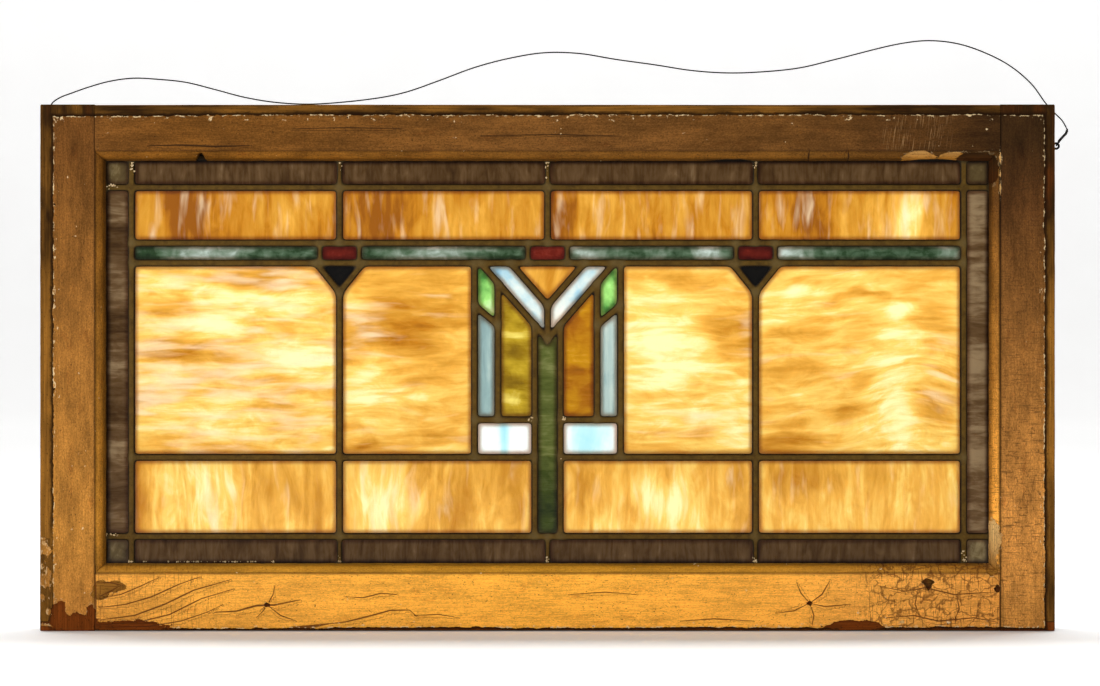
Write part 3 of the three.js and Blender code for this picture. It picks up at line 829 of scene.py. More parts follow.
CLEAN_DENT_DEPTH = 2.3
END_ROUND = 0.45
# Breaks in the sight edge of the top moulding: middle and half width along it, and depth
TOP_BREAKS = [(-312.8, 5.5, 7), (167, 24, 1.6), (349, 34, 1.8)]


def measure_cracks(x, z):
    """The signed distance to the nearest crack in units of its width, and far from all of them 6."""
    nearest = np.full(x.shape, CRACK_FAR)
    for points, width in CRACKS:
        length = sum(math.dist(a, b) for a, b in zip(points, points[1:]))
        done = 0
        for (ax, az), (bx, bz) in zip(points, points[1:]):
            run = math.dist((ax, az), (bx, bz))
            ux, uz = (bx - ax) / run, (bz - az) / run
            along = np.clip((x - ax) * ux + (z - az) * uz, 0, run)
            off_x, off_z = x - ax - along * ux, z - az - along * uz
            side = np.sign(ux * (z - az) - uz * (x - ax))
            share = (done + along) / length
            taper = width * (0.35 + 0.65 * np.sin(np.pi * np.clip(share, 0.03, 0.97)))
            signed = np.hypot(off_x, off_z) * np.where(side == 0, 1, side) / taper
            nearest = np.where(np.abs(signed) < np.abs(nearest), signed, nearest)
            done += run
    return nearest


def blend_tones(place, stops):
    """Colours along a line of places, as an array."""
    places = [stop[0] for stop in stops]
    colours = np.array([rgb(*stop[1]) for stop in stops])
    return np.stack([np.interp(place, places, colours[:, k]) for k in range(4)], axis=-1)


def bare_margins(x, z):
    """How far a point is inside the strip that the window's stops kept from the paint."""
    wander = 3.4 * (noise_at(9, 11, 4, x, z) - 0.5)
    left = 12.2 - (x + half_width)
    islands = 5.5 * (noise_at((4.5, 6), 12, 3, x, z) - 0.46)
    left = np.where((left > 1.2) & (z > 4) & (z < 84 + 6 * wander), islands, left)
    right = 9.8 - (half_width - x)
    top = 9.4 + 1.4 * smooth(-x, 250, 420) - (sash_height - z)
    bottom = 1.6 + 2.6 * noise_at(60, 5, 2, x, z) - z
    return np.maximum(np.maximum(left, right), np.maximum(top, bottom)) + wander


def blob(x, z, middle_x, middle_z, half_w, half_h):
    """A soft spot that is 1 in its middle."""
    return np.exp(-((x - middle_x) / half_w) ** 2 - ((z - middle_z) / half_h) ** 2)


def wood_age(x, z, bare, upright):
    """The look of bare wood: 0 is old red primer, then dirt, then weathered wood, and 1 is fresh wood."""
    age = 0.43 - 0.05 * smooth(-x, 250, 420) - 0.1 * smooth(x, 200, 380) * smooth(z, 330, 420)
    age = age - 0.07 * smooth(x, 440, 446) * smooth(z, 330, 400)
    age = age + 0.13 * smooth(x, 446, 452) * smooth(z, 90, 160) * smooth(-z, -400, -250)
    age = age + 0.17 * smooth(-x, 443, 447) * smooth(-z, -360, -240)
    age = age + 0.4 * (noise_at((9, 34) if upright else (34, 5), 31, 4, x, z) - 0.5)
    return np.where((z < 9) & (bare > -1), 0.08, age)


def dig_dents(x, z, bare, age):
    """Adds the dents to what is bare and to its age, and returns with them how far the surface is pushed
    in and how chalky the paint's edges are."""
    push = np.zeros_like(x)
    chalk = 1 - 0.55 * smooth(-x, 443, 446) * smooth(-z, -100, -80)
    for dent_x, dent_z, half_w, half_h, deep, dent_age in DENTS:
        power = 1.25 if max(half_w, half_h) < SMALL_DENT else 2
        far = (np.abs((x - dent_x) / half_w) ** power + np.abs((z - dent_z) / half_h) ** power) ** (1 / power)
        ragged = 0.25 if deep > CLEAN_DENT_DEPTH else 0.9
        far = far + ragged * (noise_at((5, 3.6), 41, 4, x, z) - 0.5)
        hollow = (1 - far) * min(half_w, half_h)
        chalk = np.where((hollow > bare) & (hollow > -1.2), 0.12, chalk)
        bare = np.maximum(bare, hollow)
        age = np.where(hollow > -0.6, dent_age + 0.05 * deep * (z - dent_z) / half_h, age)
        push = np.maximum(push, deep * smooth(1 - far, 0, 0.55))
    return bare, age, push, chalk


def wear_corners(along, across, depth_y, face):
    """Moves the points near the outer arrises on to uneven curves."""
    far_edge = across + face
    wear = 0.9 + 1.9 * noise_at((14, 14), 71, 3, along, depth_y * 0)
    for inside, sign in ((depth_y - front_y, 1), (back_y - depth_y, -1)):
        out_x, out_y = far_edge - wear, inside - wear
        size = np.maximum(np.hypot(out_x, out_y), 1e-6)
        pull = np.where((out_x < 0) & (out_y < 0) & (size > wear), wear / size, 1)
        across = across + out_x * (pull - 1)
        depth_y = depth_y + sign * out_y * (pull - 1)
    return across, depth_y


def member_tone(x, z, across, face, tones, tone_axis, moulding_painted_light, seam_painted_shade, is_front):
    """The paint's broad colour, with painted shade in the seam of the moulding and on the moulding's tip by
    the glass, darker along the arrises, and the moulding lightened or darkened by a painted light factor.
    """
    tone = blend_tones((x, z)[tone_axis], tones)
    # Painted shade in the seam where the flat face meets the moulding
    seam = smooth(-np.abs(across - 0.2), -1.9, -0.2) * is_front
    # Painted shade on the moulding's tip, next to the glass
    tip = smooth(across, moulding_width - 3.4, moulding_width - 0.4)
    on_moulding = smooth(across, -0.2, 0.6) * is_front
    outer = smooth(-(across + face), -7, -1) * is_front
    shade = (1 - seam_painted_shade * seam) * (1 - 0.5 * tip) * (1 - 0.25 * outer)
    # The moulding's painted light: a factor above 1 lightens it, below 1 shades it
    tone[..., :3] *= (shade * (1 + (moulding_painted_light - 1) * on_moulding))[..., None]
    tone[..., 2] *= 1 - 0.3 * on_moulding
    return tone


def build_member(name, face, stations, limit, place, tones, craze_at, material, grain_start,
                 moulding_painted_light, seam_painted_shade):
    """One member of the sash. limit gives how far its section reaches across at each station."""
    upright = name.endswith("stile")
    zones, section = member_section(face)
    ahead = unit(np.roll(section, -1, axis=0) - np.roll(section, 1, axis=0))
    inward = np.stack([ahead[:, 1], -ahead[:, 0]], axis=1)
    count, around = len(stations), len(section)
    along = np.repeat(stations[:, None], around, axis=1)
    across = np.repeat(section[None, :, 0], count, axis=0)
    depth_y = np.repeat(section[None, :, 1], count, axis=0)
    reach = np.repeat(limit(stations)[:, None], around, axis=1)
    is_front, is_edge, is_back = (
        np.repeat(np.isin(zones, kinds)[None, :], count, axis=0)
        for kinds in (["face", "moulding"], ["edge"], ["back", "rebate"])
    )
    points = np.stack(place(along, np.minimum(across, reach), depth_y), axis=-1)
    x, z = points[..., 0], points[..., 2]

    # Bare wood
    bare = bare_margins(x, z)
    flecks = 7 * (noise_at((4, 4), 21, 3, x, z) - 0.9 + 0.13 * smooth(bare, -9, -1))
    bare = np.maximum(bare, flecks)
    bare, age, push, chalk = dig_dents(x, z, bare, wood_age(x, z, bare, upright))
    crack = np.where(is_front, measure_cracks(x, z), CRACK_FAR)
    bare = np.where(is_edge, 3, bare)
    bare = np.where(is_back, 14 * (noise_at((40, 40), 51, 4, x, z) - 0.47), bare)
    age = np.where(is_edge, 0.38 + 0.15 * noise_at((24, 24, 24), 61, 3, x, depth_y, z), age)

    # Relief
    across, depth_y = wear_corners(along, across, depth_y, face)
    depth = 0.45 * noise_at((120, 120, 60), 81, 2, x, z, depth_y)
    depth = depth + 0.12 * noise_at((50, 1.8, 1.8), 91, 3, along, across, depth_y)
    front_depth = 0.35 * smooth(bare, -0.4, 0.7) + 0.5 * np.exp(-((bare - 1.2) / 0.8) ** 2)
    front_depth = front_depth + push + 0.5 * smooth(-np.abs(crack), -1.6, -0.3)
    ends = np.minimum(along - stations[0], stations[-1] - along)
    end_depth = END_ROUND - np.sqrt(np.maximum(END_ROUND ** 2 - np.maximum(END_ROUND - ends, 0) ** 2, 0))
    across = across + (depth + end_depth) * inward[None, :, 0]
    depth_y = depth_y + (depth + end_depth) * inward[None, :, 1] + np.where(is_front, front_depth, 0)

    points = np.stack(place(along, np.minimum(across, reach), depth_y), axis=-1)
    index = np.arange(count * around).reshape(count, around)
    after = np.roll(index, -1, axis=1)
    quads = np.stack([index[:-1], after[:-1], after[1:], index[1:]], axis=-1).reshape(-1, 4).tolist()
    faces = [*quads, index[0].tolist(), index[-1, ::-1].tolist()]
    tone = member_tone(x, z, across, face, tones, 1 if upright else 0, moulding_painted_light, seam_painted_shade, is_front)
    grain = np.stack([along + grain_start, across, depth_y], axis=-1)
    scuff = 0.6 * smooth(x, 296, 312) * smooth(-x, -372, -340) * smooth(z, 430, 436)
    values = {
        "grain": grain.reshape(-1, 3),
        "tone": tone.reshape(-1, 4),
        "bare": np.clip(bare, -6, 6).ravel(),
        "crack": crack.ravel(),
        "craze": (craze_at(x, z) * is_front).ravel(),
        "age": np.clip(age, 0, 1).ravel(),
        "scuff": (scuff * is_front).ravel(),
        "chalk": (chalk * is_front).ravel(),
    }
    add_piece(name + "_wood", points.reshape(-1, 3), faces, material, [name], values)


def even_stations(start, end):
    return np.linspace(start, end, round((end - start) / ALONG_STEP) + 1)


def stile_limit(z):
    """A stile's moulding ends at the mitres, and its edge is slightly ragged."""
    shift = np.minimum(z - flat_bottom, flat_top - z)
    ragged = moulding_width - 0.5 * noise_at(5, 3, 3, z, z * 0)
    return np.where(shift < 0, -JOINT / 3, np.minimum(shift, ragged))


def rail_limit(x, breaks):
    """A rail reaches the stiles with its mitres, and breaks are chips out of its moulding's edge."""
    shift = flat_x - JOINT / 3 - np.abs(x)
    ragged = moulding_width - 0.7 * noise_at(7, 4, 3, x, x * 0)
    for middle, half, deep in breaks:
        ragged = ragged - deep * smooth(1 - np.abs(x - middle) / half, 0, 0.85)
    return np.minimum(shift, ragged)


def build_sash():
    stile_paint = paint_material("stile_paint", rgb(58, 36, 18), 0.5)
    top_paint = paint_material("top_rail_paint", rgb(42, 26, 12), 0.5)
    bottom_paint = paint_material("bottom_rail_paint", rgb(84, 44, 18), 0.48, 0.55)
    # The members' tones run light on the bottom rail and dark on the top rail and towards the stiles' tops:
    # partly the paint's own colour and partly painted light
    stile_face = half_width - flat_x
    stile_stations = even_stations(0, sash_height)
    rail_stations = even_stations(-flat_x + JOINT / 3, flat_x - JOINT / 3)
    # The last two numbers of each member are its moulding's painted light and the painted shade in its seam
    build_member(
        "left_stile", stile_face, stile_stations, stile_limit,
        lambda along, across, y: (across - flat_x, y, along),
        [(10, (168, 111, 46)), (77, (173, 117, 48)), (248, (147, 97, 40)), (433, (102, 63, 24))],
        lambda x, z: 0.25 * blob(x, z, -430, 60, 30, 60),
        stile_paint, 9900, 0.98, 0.5,
    )
    build_member(
        "right_stile", stile_face, stile_stations, stile_limit,
        lambda along, across, y: (flat_x - across, y, along),
        [(20, (185, 125, 56)), (77, (200, 135, 63)), (244, (141, 93, 42)), (383, (83, 51, 22)),
         (440, (54, 34, 13))],
        lambda x, z: 0.36 + 0.12 * blob(x, z, 430, 120, 40, 120),
        stile_paint, 9900, 1.72, 0.8,
    )
    build_member(
        "bottom_rail", flat_bottom, rail_stations, lambda x: rail_limit(x, []),
        lambda along, across, y: (along, y, flat_bottom + across),
        [(-400, (216, 148, 61)), (-317, (238, 167, 66)), (2, (252, 178, 65)), (200, (246, 172, 67)),
         (326, (240, 166, 73)), (400, (224, 151, 66))],
        lambda x, z: 0.2 + 0.6 * smooth(x, 250, 330) + 0.2 * smooth(-x, 240, 330),
        bottom_paint, 15300, 0.54, 0.55,
    )
    build_member(
        "top_rail", sash_height - flat_top, rail_stations, lambda x: rail_limit(x, TOP_BREAKS),
        lambda along, across, y: (along, y, flat_top - across),
        [(-400, (110, 69, 26)), (-322, (109, 68, 23)), (2, (110, 71, 30)), (220, (101, 65, 27)),
         (326, (84, 53, 22)), (400, (58, 36, 14))],
        lambda x, z: 0 * x,
        top_paint, 12600, 1.14, 0.25,
    )


# Lead lattice
FORK_POINT = 4.4
FORK_POINT_FACE = 2.6
LATTICE_STEP = 1.3
SOLDER_BLEND = 1.1
LEAD_TRIM = 1.4
FLANGE_EDGE = 0.75
CROWN_REACH = 2.2
SOLDER_RISE = 0.35
SOLDER_SPREAD = 4.6


def fork_at(x):
    return band_bottom - FORK_DEPTH + abs(x) * math.tan(FORK_ANGLE)


def lead_lines():
    """Each strip of lead as two ends and the width of its face."""
    lines = []

    def line(start, end, face=LEAD_FACE):
        lines.append((start, end, face))

    def pair(start, end, face=LEAD_FACE):
        line(start, end, face)
        line((-start[0], start[1]), (-end[0], end[1]), face)

    for z in (edge_bottom, bottom_line, top_line, edge_top):
        line((-edge_x, z), (edge_x, z))
    pair((edge_x, edge_bottom), (edge_x, edge_top))
    pair((border_x, edge_bottom), (border_x, edge_top))
    line((-border_x, band_top), (border_x, band_top))
    line((-border_x, band_bottom), (border_x, band_bottom))
    pair((stem_x, row_line), (border_x, row_line))
    tip = band_bottom - TRIANGLE_DEPTH
    pair((quarter_x, tip), (quarter_x, bottom_line))
    pair((quarter_x, band_top), (quarter_x, top_line))
    pair((quarter_x, top_line), (quarter_x, edge_top), THIN_LEAD_FACE)
    pair((quarter_x, edge_bottom), (quarter_x, bottom_line), THIN_LEAD_FACE)
    line((0, band_top), (0, top_line))
    line((0, top_line), (0, edge_top), THIN_LEAD_FACE)
    line((0, edge_bottom), (0, bottom_line), THIN_LEAD_FACE)
    for middle in (-quarter_x, 0, quarter_x):
        for side in (-red_x, red_x):
            line((middle + side, band_bottom), (middle + side, band_top), THIN_LEAD_FACE)
    for side in (-1, 1):
        pair((quarter_x + side * TRIANGLE_WIDTH / 2, band_bottom), (quarter_x, tip))
    pair((tree_x, row_line), (tree_x, band_bottom))
    pair((leaf_x, foot_line), (leaf_x, fork_at(leaf_x)))
    pair((stem_x, bottom_line), (stem_x, fork_at(stem_x)))
    pair((stem_x, foot_line), (tree_x, foot_line))
    pair((FORK_DEPTH / math.tan(FORK_ANGLE), band_bottom), (0, band_bottom - FORK_DEPTH))
    pair((FORK_INNER_DEPTH / math.tan(FORK_ANGLE), band_bottom), (0, band_bottom - FORK_INNER_DEPTH))
    line((0, band_bottom - FORK_DEPTH), (0, band_bottom - FORK_INNER_DEPTH))
    line((0, band_bottom - FORK_DEPTH), (0, band_bottom - FORK_DEPTH - FORK_POINT), FORK_POINT_FACE)
    leaf_high = band_bottom - LEAF_DROP
    pair((tree_x, leaf_high), (leaf_x, leaf_high - LEAF_FALL))
    return lines


def lead_depth(x, z, lines):
    """How far each point is outside the lead, below 0 within it, with the joints run together."""
    total = np.zeros(x.shape)
    for (ax, az), (bx, bz), face in lines:
        run = math.dist((ax, az), (bx, bz))
        ux, uz = (bx - ax) / run, (bz - az) / run
        along = np.clip((x - ax) * ux + (z - az) * uz, LEAD_TRIM, run - LEAD_TRIM)
        away = np.hypot(x - ax - along * ux, z - az - along * uz)
        total += np.exp(-(away - face / 2) / SOLDER_BLEND)
    hand = 0.35 * (noise_at((22, 22), 7, 3, x, z) - 0.5)
    return -SOLDER_BLEND * np.log(np.maximum(total, 1e-12)) + hand


def sight_shade(x, z):
    """How far a spot is clear of the painted shadow in the corner under the moulding, from 0 to 1."""
    inside = np.minimum(sight_x - np.abs(x), np.minimum(sight_top - z, z - sight_bottom))
    return smooth(inside + 1.2 * (noise_at((7, 7), 17, 3, x, z) - 0.5), -0.4, 3.2)


def build_lattice(material):
    lines = lead_lines()
    reach_x = edge_x + LEAD_FACE / 2 - 0.3
    low_z, high_z = edge_bottom - LEAD_FACE / 2 + 0.3, edge_top + LEAD_FACE / 2 - 0.3
    xs = np.linspace(-reach_x, reach_x, round(2 * reach_x / LATTICE_STEP) + 1)
    zs = np.linspace(low_z, high_z, round((high_z - low_z) / LATTICE_STEP) + 1)
    x, z = np.meshgrid(xs, zs, indexing="ij")
    depth = lead_depth(x, z, lines)
    middle = (depth[:-1, :-1] + depth[1:, :-1] + depth[:-1, 1:] + depth[1:, 1:]) / 4
    kept = middle < 0
    uses = np.zeros(depth.shape, int)
    for i, j in np.ndindex(2, 2):
        uses[i:i + kept.shape[0], j:j + kept.shape[1]] += kept
    rim = (uses > 0) & (uses < 4)
    inner = np.zeros(depth.shape, bool)
    inner[1:-1, 1:-1] = True
    slope_x, slope_z = np.gradient(depth, xs, zs)
    size = np.maximum(np.hypot(slope_x, slope_z), 0.3)
    shift = np.where(rim & inner, -depth / size, 0)
    shift = np.clip(shift, -LATTICE_STEP, LATTICE_STEP)
    x = x + shift * slope_x / size
    z = z + shift * slope_z / size
    depth = np.where(rim & inner, 0, np.minimum(depth, 0))

    solder = np.zeros(x.shape)
    for start, end, _ in lines:
        for point_x, point_z in (start, end):
            solder = np.maximum(solder, blob(x, z, point_x, point_z, SOLDER_SPREAD, SOLDER_SPREAD))
    crown = 1 - (1 - np.clip(-depth / CROWN_REACH, 0, 1)) ** 2.2
    lumps = noise_at((4, 4), 13, 3, x, z) - 0.5
    rise = FLANGE_EDGE * (crown - 1) + 0.16 * lumps + SOLDER_RISE * solder * (0.5 + crown / 2 + 0.8 * lumps)
    front = lead_front + 0.1 - rise
    back = lead_back - 0.1 + FLANGE_EDGE * (crown - 1) + 0.1 * lumps

    used = uses > 0
    number = np.full(x.shape, -1)
    number[used] = np.arange(used.sum())
    total = used.sum()
    vertices = np.concatenate([
        np.stack([x[used], front[used], z[used]], axis=1),
        np.stack([x[used], back[used], z[used]], axis=1),
    ])
    corners = np.stack([number[:-1, :-1], number[1:, :-1], number[1:, 1:], number[:-1, 1:]], axis=-1)[kept]
    faces = corners.tolist() + (corners[:, ::-1] + total).tolist()
    edges = np.concatenate([corners[:, [k, (k + 1) % 4]] for k in range(4)])
    keys = {tuple(pair) for pair in edges.tolist()}
    walls = [(a, a + total, b + total, b) for a, b in keys if (b, a) not in keys]
    faces += sorted(walls)
    values = {
        "crown": np.tile(crown[used] ** 2, 2),
        "solder": np.tile(solder[used], 2),
        "shade": np.tile(sight_shade(x, z)[used], 2),
    }
    add_piece("lead_lattice", vertices, faces, material, ["lead_came"], values, sharp=60)


# Glass. Each pane is its solid, cut into a fine grid and rippled. Its look is set by the angle of its
# streaks in degrees, its base tone, soft spots of tone and of milk (middle and half size as shares of the
# pane, and strength), a swirl if it has one, and how far its streaks warp in millimetres.
PANE_STEP = 2.2
RIPPLE = 0.22
BACK_RIPPLE = 0.6
PANE_TRIM = 0.12
RIM_REACH = 6


Pane = namedtuple("Pane", "angle tone spots milk swirl warp", defaults=((), (), None, 3.0))

PANES = {
    "amber_outer_left": Pane(0, 0.71, [(0.85, 0.5, 0.2, 0.1, 0.3), (0.6, 0.8, 0.3, 0.06, 0.22),
        (0.36, 0.68, 0.14, 0.05, 0.28), (0.45, 0.19, 0.4, 0.08, 0.2), (0.12, 0.9, 0.2, 0.06, 0.15),
        (0.22, 0.53, 0.3, 0.06, -0.34), (0.4, 0.4, 0.3, 0.025, -0.3), (0.6, 0.92, 0.25, 0.05, -0.36),
        (0.05, 0.3, 0.12, 0.06, -0.25), (0.35, 0.05, 0.25, 0.04, -0.25), (0.75, 0.2, 0.12, 0.06, -0.2),
        (0.3, 0.78, 0.3, 0.03, -0.2)], [(0.3, 0.4, 0.3, 0.03, 0.2), (0.1, 0.3, 0.14, 0.06, 0.25),
        (0.6, 0.93, 0.2, 0.04, 0.2), (0.1, 0.65, 0.2, 0.1, 0.12), (0.5, 0.5, 0.9, 0.9, 0.19)], warp=2.5),
    "amber_inner_left": Pane(0, 0.64, [(0.5, 0.72, 0.45, 0.16, -0.3), (0.5, 0.62, 0.3, 0.1, -0.18),
        (0.15, 0.36, 0.2, 0.1, 0.3), (0.5, 0.3, 0.4, 0.06, 0.16), (0.12, 0.8, 0.12, 0.06, 0.2),
        (0.16, 0.06, 0.12, 0.03, -0.35), (0.8, 0.92, 0.15, 0.05, -0.2), (0.75, 0.4, 0.2, 0.04, -0.15),
        (0.5, 0.2, 0.5, 0.03, 0.2)], [(0.2, 0.7, 0.2, 0.1, 0.2), (0.2, 0.4, 0.3, 0.3, 0.08)], warp=4),
    "amber_inner_right": Pane(0, 0.77, [(0.3, 0.62, 0.3, 0.18, 0.16), (0.3, 0.42, 0.3, 0.1, 0.14),
        (0.74, 0.68, 0.14, 0.1, -0.32), (0.95, 0.65, 0.1, 0.14, -0.36), (0.3, 0.93, 0.4, 0.05, -0.3),
        (0.75, 0.55, 0.12, 0.06, -0.2), (0.5, 0.24, 0.45, 0.05, 0.15), (0.4, 0.1, 0.4, 0.06, -0.14),
        (0.1, 0.3, 0.1, 0.04, -0.1)], [(0.95, 0.62, 0.07, 0.1, 0.16), (0.7, 0.2, 0.3, 0.06, 0.15)], warp=5),
    "amber_outer_right": Pane(4, 0.7, [(0.66, 0.38, 0.1, 0.26, 0.26), (0.72, 0.12, 0.14, 0.1, 0.26),
        (0.14, 0.06, 0.16, 0.07, -0.4), (0.45, 0.24, 0.1, 0.06, -0.28), (0.2, 0.44, 0.18, 0.04, -0.26),
        (0.3, 0.86, 0.3, 0.05, 0.22), (0.55, 0.83, 0.16, 0.025, -0.38), (0.7, 0.78, 0.1, 0.06, 0.26),
        (0.2, 0.65, 0.14, 0.03, -0.22), (0.88, 0.3, 0.12, 0.2, -0.1), (0.85, 0.2, 0.08, 0.06, -0.12),
        (0.88, 0.72, 0.1, 0.08, -0.2)], [(0.88, 0.42, 0.1, 0.2, 0.2)], (0.95, 0.42, 0.26, 0.45), 7),
    "amber_top_1": Pane(90, 0.23, [(0.25, 0.5, 0.1, 0.6, -0.36), (0.78, 0.6, 0.16, 0.5, 0.22),
        (0.06, 0.5, 0.08, 0.6, 0.2)], [(0.5, 0.5, 0.9, 0.9, 0.05)]),
    "amber_top_2": Pane(90, 0.26, [(0.18, 0.5, 0.13, 0.6, -0.3), (0.56, 0.4, 0.12, 0.5, 0.14),
        (0.8, 0.5, 0.2, 0.7, 0.1), (0.34, 0.6, 0.05, 0.5, -0.15)], [(0.5, 0.5, 0.9, 0.9, 0.04)]),
    "amber_top_3": Pane(90, 0.29, [(0.06, 0.4, 0.08, 0.7, -0.24), (0.65, 0.6, 0.2, 0.5, 0.12),
        (0.3, 0.5, 0.1, 0.7, 0.1)], [(0.5, 0.5, 0.9, 0.9, 0.08)]),
    "amber_top_4": Pane(90, 0.32, [(0.25, 0.5, 0.1, 0.6, -0.34), (0.75, 0.5, 0.09, 0.9, 0.55),
        (0.5, 0.5, 0.1, 0.7, 0.05)], [(0.75, 0.5, 0.1, 0.9, 0.12), (0.5, 0.5, 0.9, 0.9, 0.07)]),
    "amber_bottom_1": Pane(90, 0.64, [(0.4, 0.5, 0.12, 0.8, 0.24), (0.2, 0.6, 0.08, 0.6, 0.15),
        (0.03, 0.5, 0.04, 0.9, -0.34), (0.62, 0.7, 0.06, 0.5, -0.2), (0.85, 0.5, 0.14, 0.8, -0.14)],
        [(0.4, 0.4, 0.1, 0.6, 0.2)], warp=7),
    "amber_bottom_2": Pane(90, 0.67, [(0.2, 0.4, 0.16, 0.5, 0.22), (0.62, 0.5, 0.1, 0.5, -0.36),
        (0.9, 0.6, 0.06, 0.5, -0.3), (0.4, 0.8, 0.1, 0.4, -0.2)], [(0.25, 0.5, 0.2, 0.5, 0.14)], warp=8),
    "amber_bottom_3": Pane(90, 0.69, [(0.12, 0.6, 0.05, 0.5, -0.3), (0.55, 0.4, 0.14, 0.4, 0.26),
        (0.9, 0.5, 0.05, 0.6, -0.3), (0.45, 0.9, 0.3, 0.2, -0.12)], warp=6),
    "amber_bottom_4": Pane(90, 0.6, [(0.2, 0.8, 0.3, 0.3, -0.18), (0.9, 0.4, 0.1, 0.8, 0.12),
        (0.55, 0.3, 0.3, 0.3, 0.05)], warp=6),
    "fork_triangle": Pane(80, 0.58, [(0.5, 0.7, 0.12, 0.5, -0.2), (0.2, 0.9, 0.2, 0.3, 0.1)]),
    "green_band_1": Pane(0, 0.38, [(0.42, 0.5, 0.2, 1, 0.4), (0.05, 0.5, 0.1, 1, -0.1),
        (0.3, 0.3, 0.1, 0.4, 0.14)]),
    "green_band_2": Pane(0, 0.48, [(0.45, 0.5, 0.25, 1, 0.36), (0.02, 0.5, 0.06, 1, -0.1),
        (0.9, 0.5, 0.08, 1, -0.2)]),
    "green_band_3": Pane(0, 0.57, [(0.12, 0.5, 0.12, 1, 0.3), (0.6, 0.5, 0.2, 1, -0.1),
        (0.85, 0.6, 0.1, 1, 0.2)]),
    "green_band_4": Pane(0, 0.51, [(0.08, 0.5, 0.1, 1, 0.4), (0.6, 0.5, 0.25, 1, -0.1),
        (0.94, 0.5, 0.05, 1, 0.24)]),
    "leaf_left": Pane(70, 0.54, [(0.6, 0.3, 0.4, 0.25, 0.3), (0.3, 0.85, 0.4, 0.15, -0.25)]),
    "leaf_right": Pane(110, 0.42, [(0.5, 0.5, 0.4, 0.2, 0.32), (0.4, 0.2, 0.4, 0.2, -0.15)]),
    "branch_left": Pane(-49, 0.7, [(0.5, 0.45, 0.15, 0.3, 0.1), (0.15, 0.9, 0.2, 0.12, -0.2)]),
    "branch_right": Pane(49, 0.8, [(0.5, 0.55, 0.12, 0.14, -0.4), (0.2, 0.2, 0.2, 0.2, 0.3),
        (0.8, 0.9, 0.15, 0.12, -0.1)]),
    "side_strip_left": Pane(90, 0.4, [(0.7, 0.5, 0.2, 0.6, 0.14)]),
    "side_strip_right": Pane(90, 0.62, [(0.7, 0.5, 0.2, 0.6, 0.12)]),
    "trunk_side_left": Pane(0, 0.5, [(0.4, 0.63, 0.5, 0.04, 0.4), (0.5, 0.5, 0.5, 0.05, -0.2),
        (0.5, 0.42, 0.5, 0.06, 0.24), (0.4, 0.28, 0.5, 0.06, -0.34), (0.3, 0.14, 0.4, 0.05, 0.36),
        (0.3, 0.9, 0.4, 0.1, -0.1)], warp=4),
    "trunk_side_right": Pane(0, 0.46, [(0.5, 0.9, 0.6, 0.1, 0.3), (0.5, 0.72, 0.5, 0.08, -0.2),
        (0.5, 0.45, 0.5, 0.08, 0.2), (0.4, 0.35, 0.5, 0.04, -0.2), (0.5, 0.1, 0.5, 0.08, 0.1)], warp=4),
    "foot_left": Pane(90, 0.86, [(0.47, 0.5, 0.09, 1, -0.7)], warp=0.8),
    "foot_right": Pane(80, 0.62, [(0.1, 0.5, 0.1, 0.5, 0.3), (0.95, 0.6, 0.1, 0.5, 0.4),
        (0.4, 0.4, 0.25, 0.5, -0.3)], warp=1.5),
    "stem": Pane(0, 0.56, [(0.5, 0.9, 0.8, 0.1, 0.12), (0.5, 0.6, 0.8, 0.2, 0.2),
        (0.5, 0.12, 0.8, 0.18, -0.24)], warp=1.5),
    "red_block_left": Pane(0, 0.4),
    "red_block_centre": Pane(0, 0.62),
    "red_block_right": Pane(0, 0.3),
}
# Dark and light bands up the side glass
SIDE_BANDS = [
    (0.5, 0.93, 0.9, 0.04, 0.3), (0.5, 0.84, 0.9, 0.03, -0.3), (0.5, 0.72, 0.9, 0.05, 0.22),
    (0.5, 0.6, 0.9, 0.04, -0.24), (0.5, 0.48, 0.9, 0.03, 0.26), (0.5, 0.37, 0.9, 0.05, -0.2),
    (0.5, 0.24, 0.9, 0.04, 0.28), (0.5, 0.12, 0.9, 0.04, -0.26),
]
PANES["border_side_left"] = Pane(0, 0.58, SIDE_BANDS, warp=4)
PANES["border_side_right"] = Pane(0, 0.82, SIDE_BANDS, warp=4)
PANES["corner_bottom_right"] = Pane(70, 0.64, warp=5)
# The look of each other pane whose name begins so
GROUP_PANES = {
    "border": Pane(90, 0.45),
    "corner": Pane(70, 0.42, warp=5),
    "black": Pane(30, 0.3),
}


def pane_look(name):
    return PANES.get(name) or GROUP_PANES[name.split("_")[0]]


def grid_cut(node, steps):
    """A solid's mesh, cut by even planes along each axis that has a step, in millimetres."""
    cut = bmesh.new()
    cut.from_mesh(frame["nodes"][node].data)
    bmesh.ops.remove_doubles(cut, verts=cut.verts, dist=0.01 * MM)
    bmesh.ops.dissolve_limit(cut, angle_limit=0.01, verts=cut.verts, edges=cut.edges)
    for axis, step in steps.items():
        low, high = edge(node, LOW, axis), edge(node, HIGH, axis)
        normal = [0, 0, 0]
        normal[axis] = 1
        count = max(2, round((high - low) / step))
        for k in range(1, count):
            point = [0, 0, 0]
            point[axis] = (low + (high - low) * k / count) * MM
            parts = [*cut.verts, *cut.edges, *cut.faces]
            bmesh.ops.bisect_plane(cut, geom=parts, dist=1e-7, plane_co=point, plane_no=normal)
    cut.verts.index_update()
    vertices = np.array([vertex.co for vertex in cut.verts]) / MM
    faces = [[vertex.index for vertex in face.verts] for face in cut.faces]
    cut.free()
    return vertices, faces


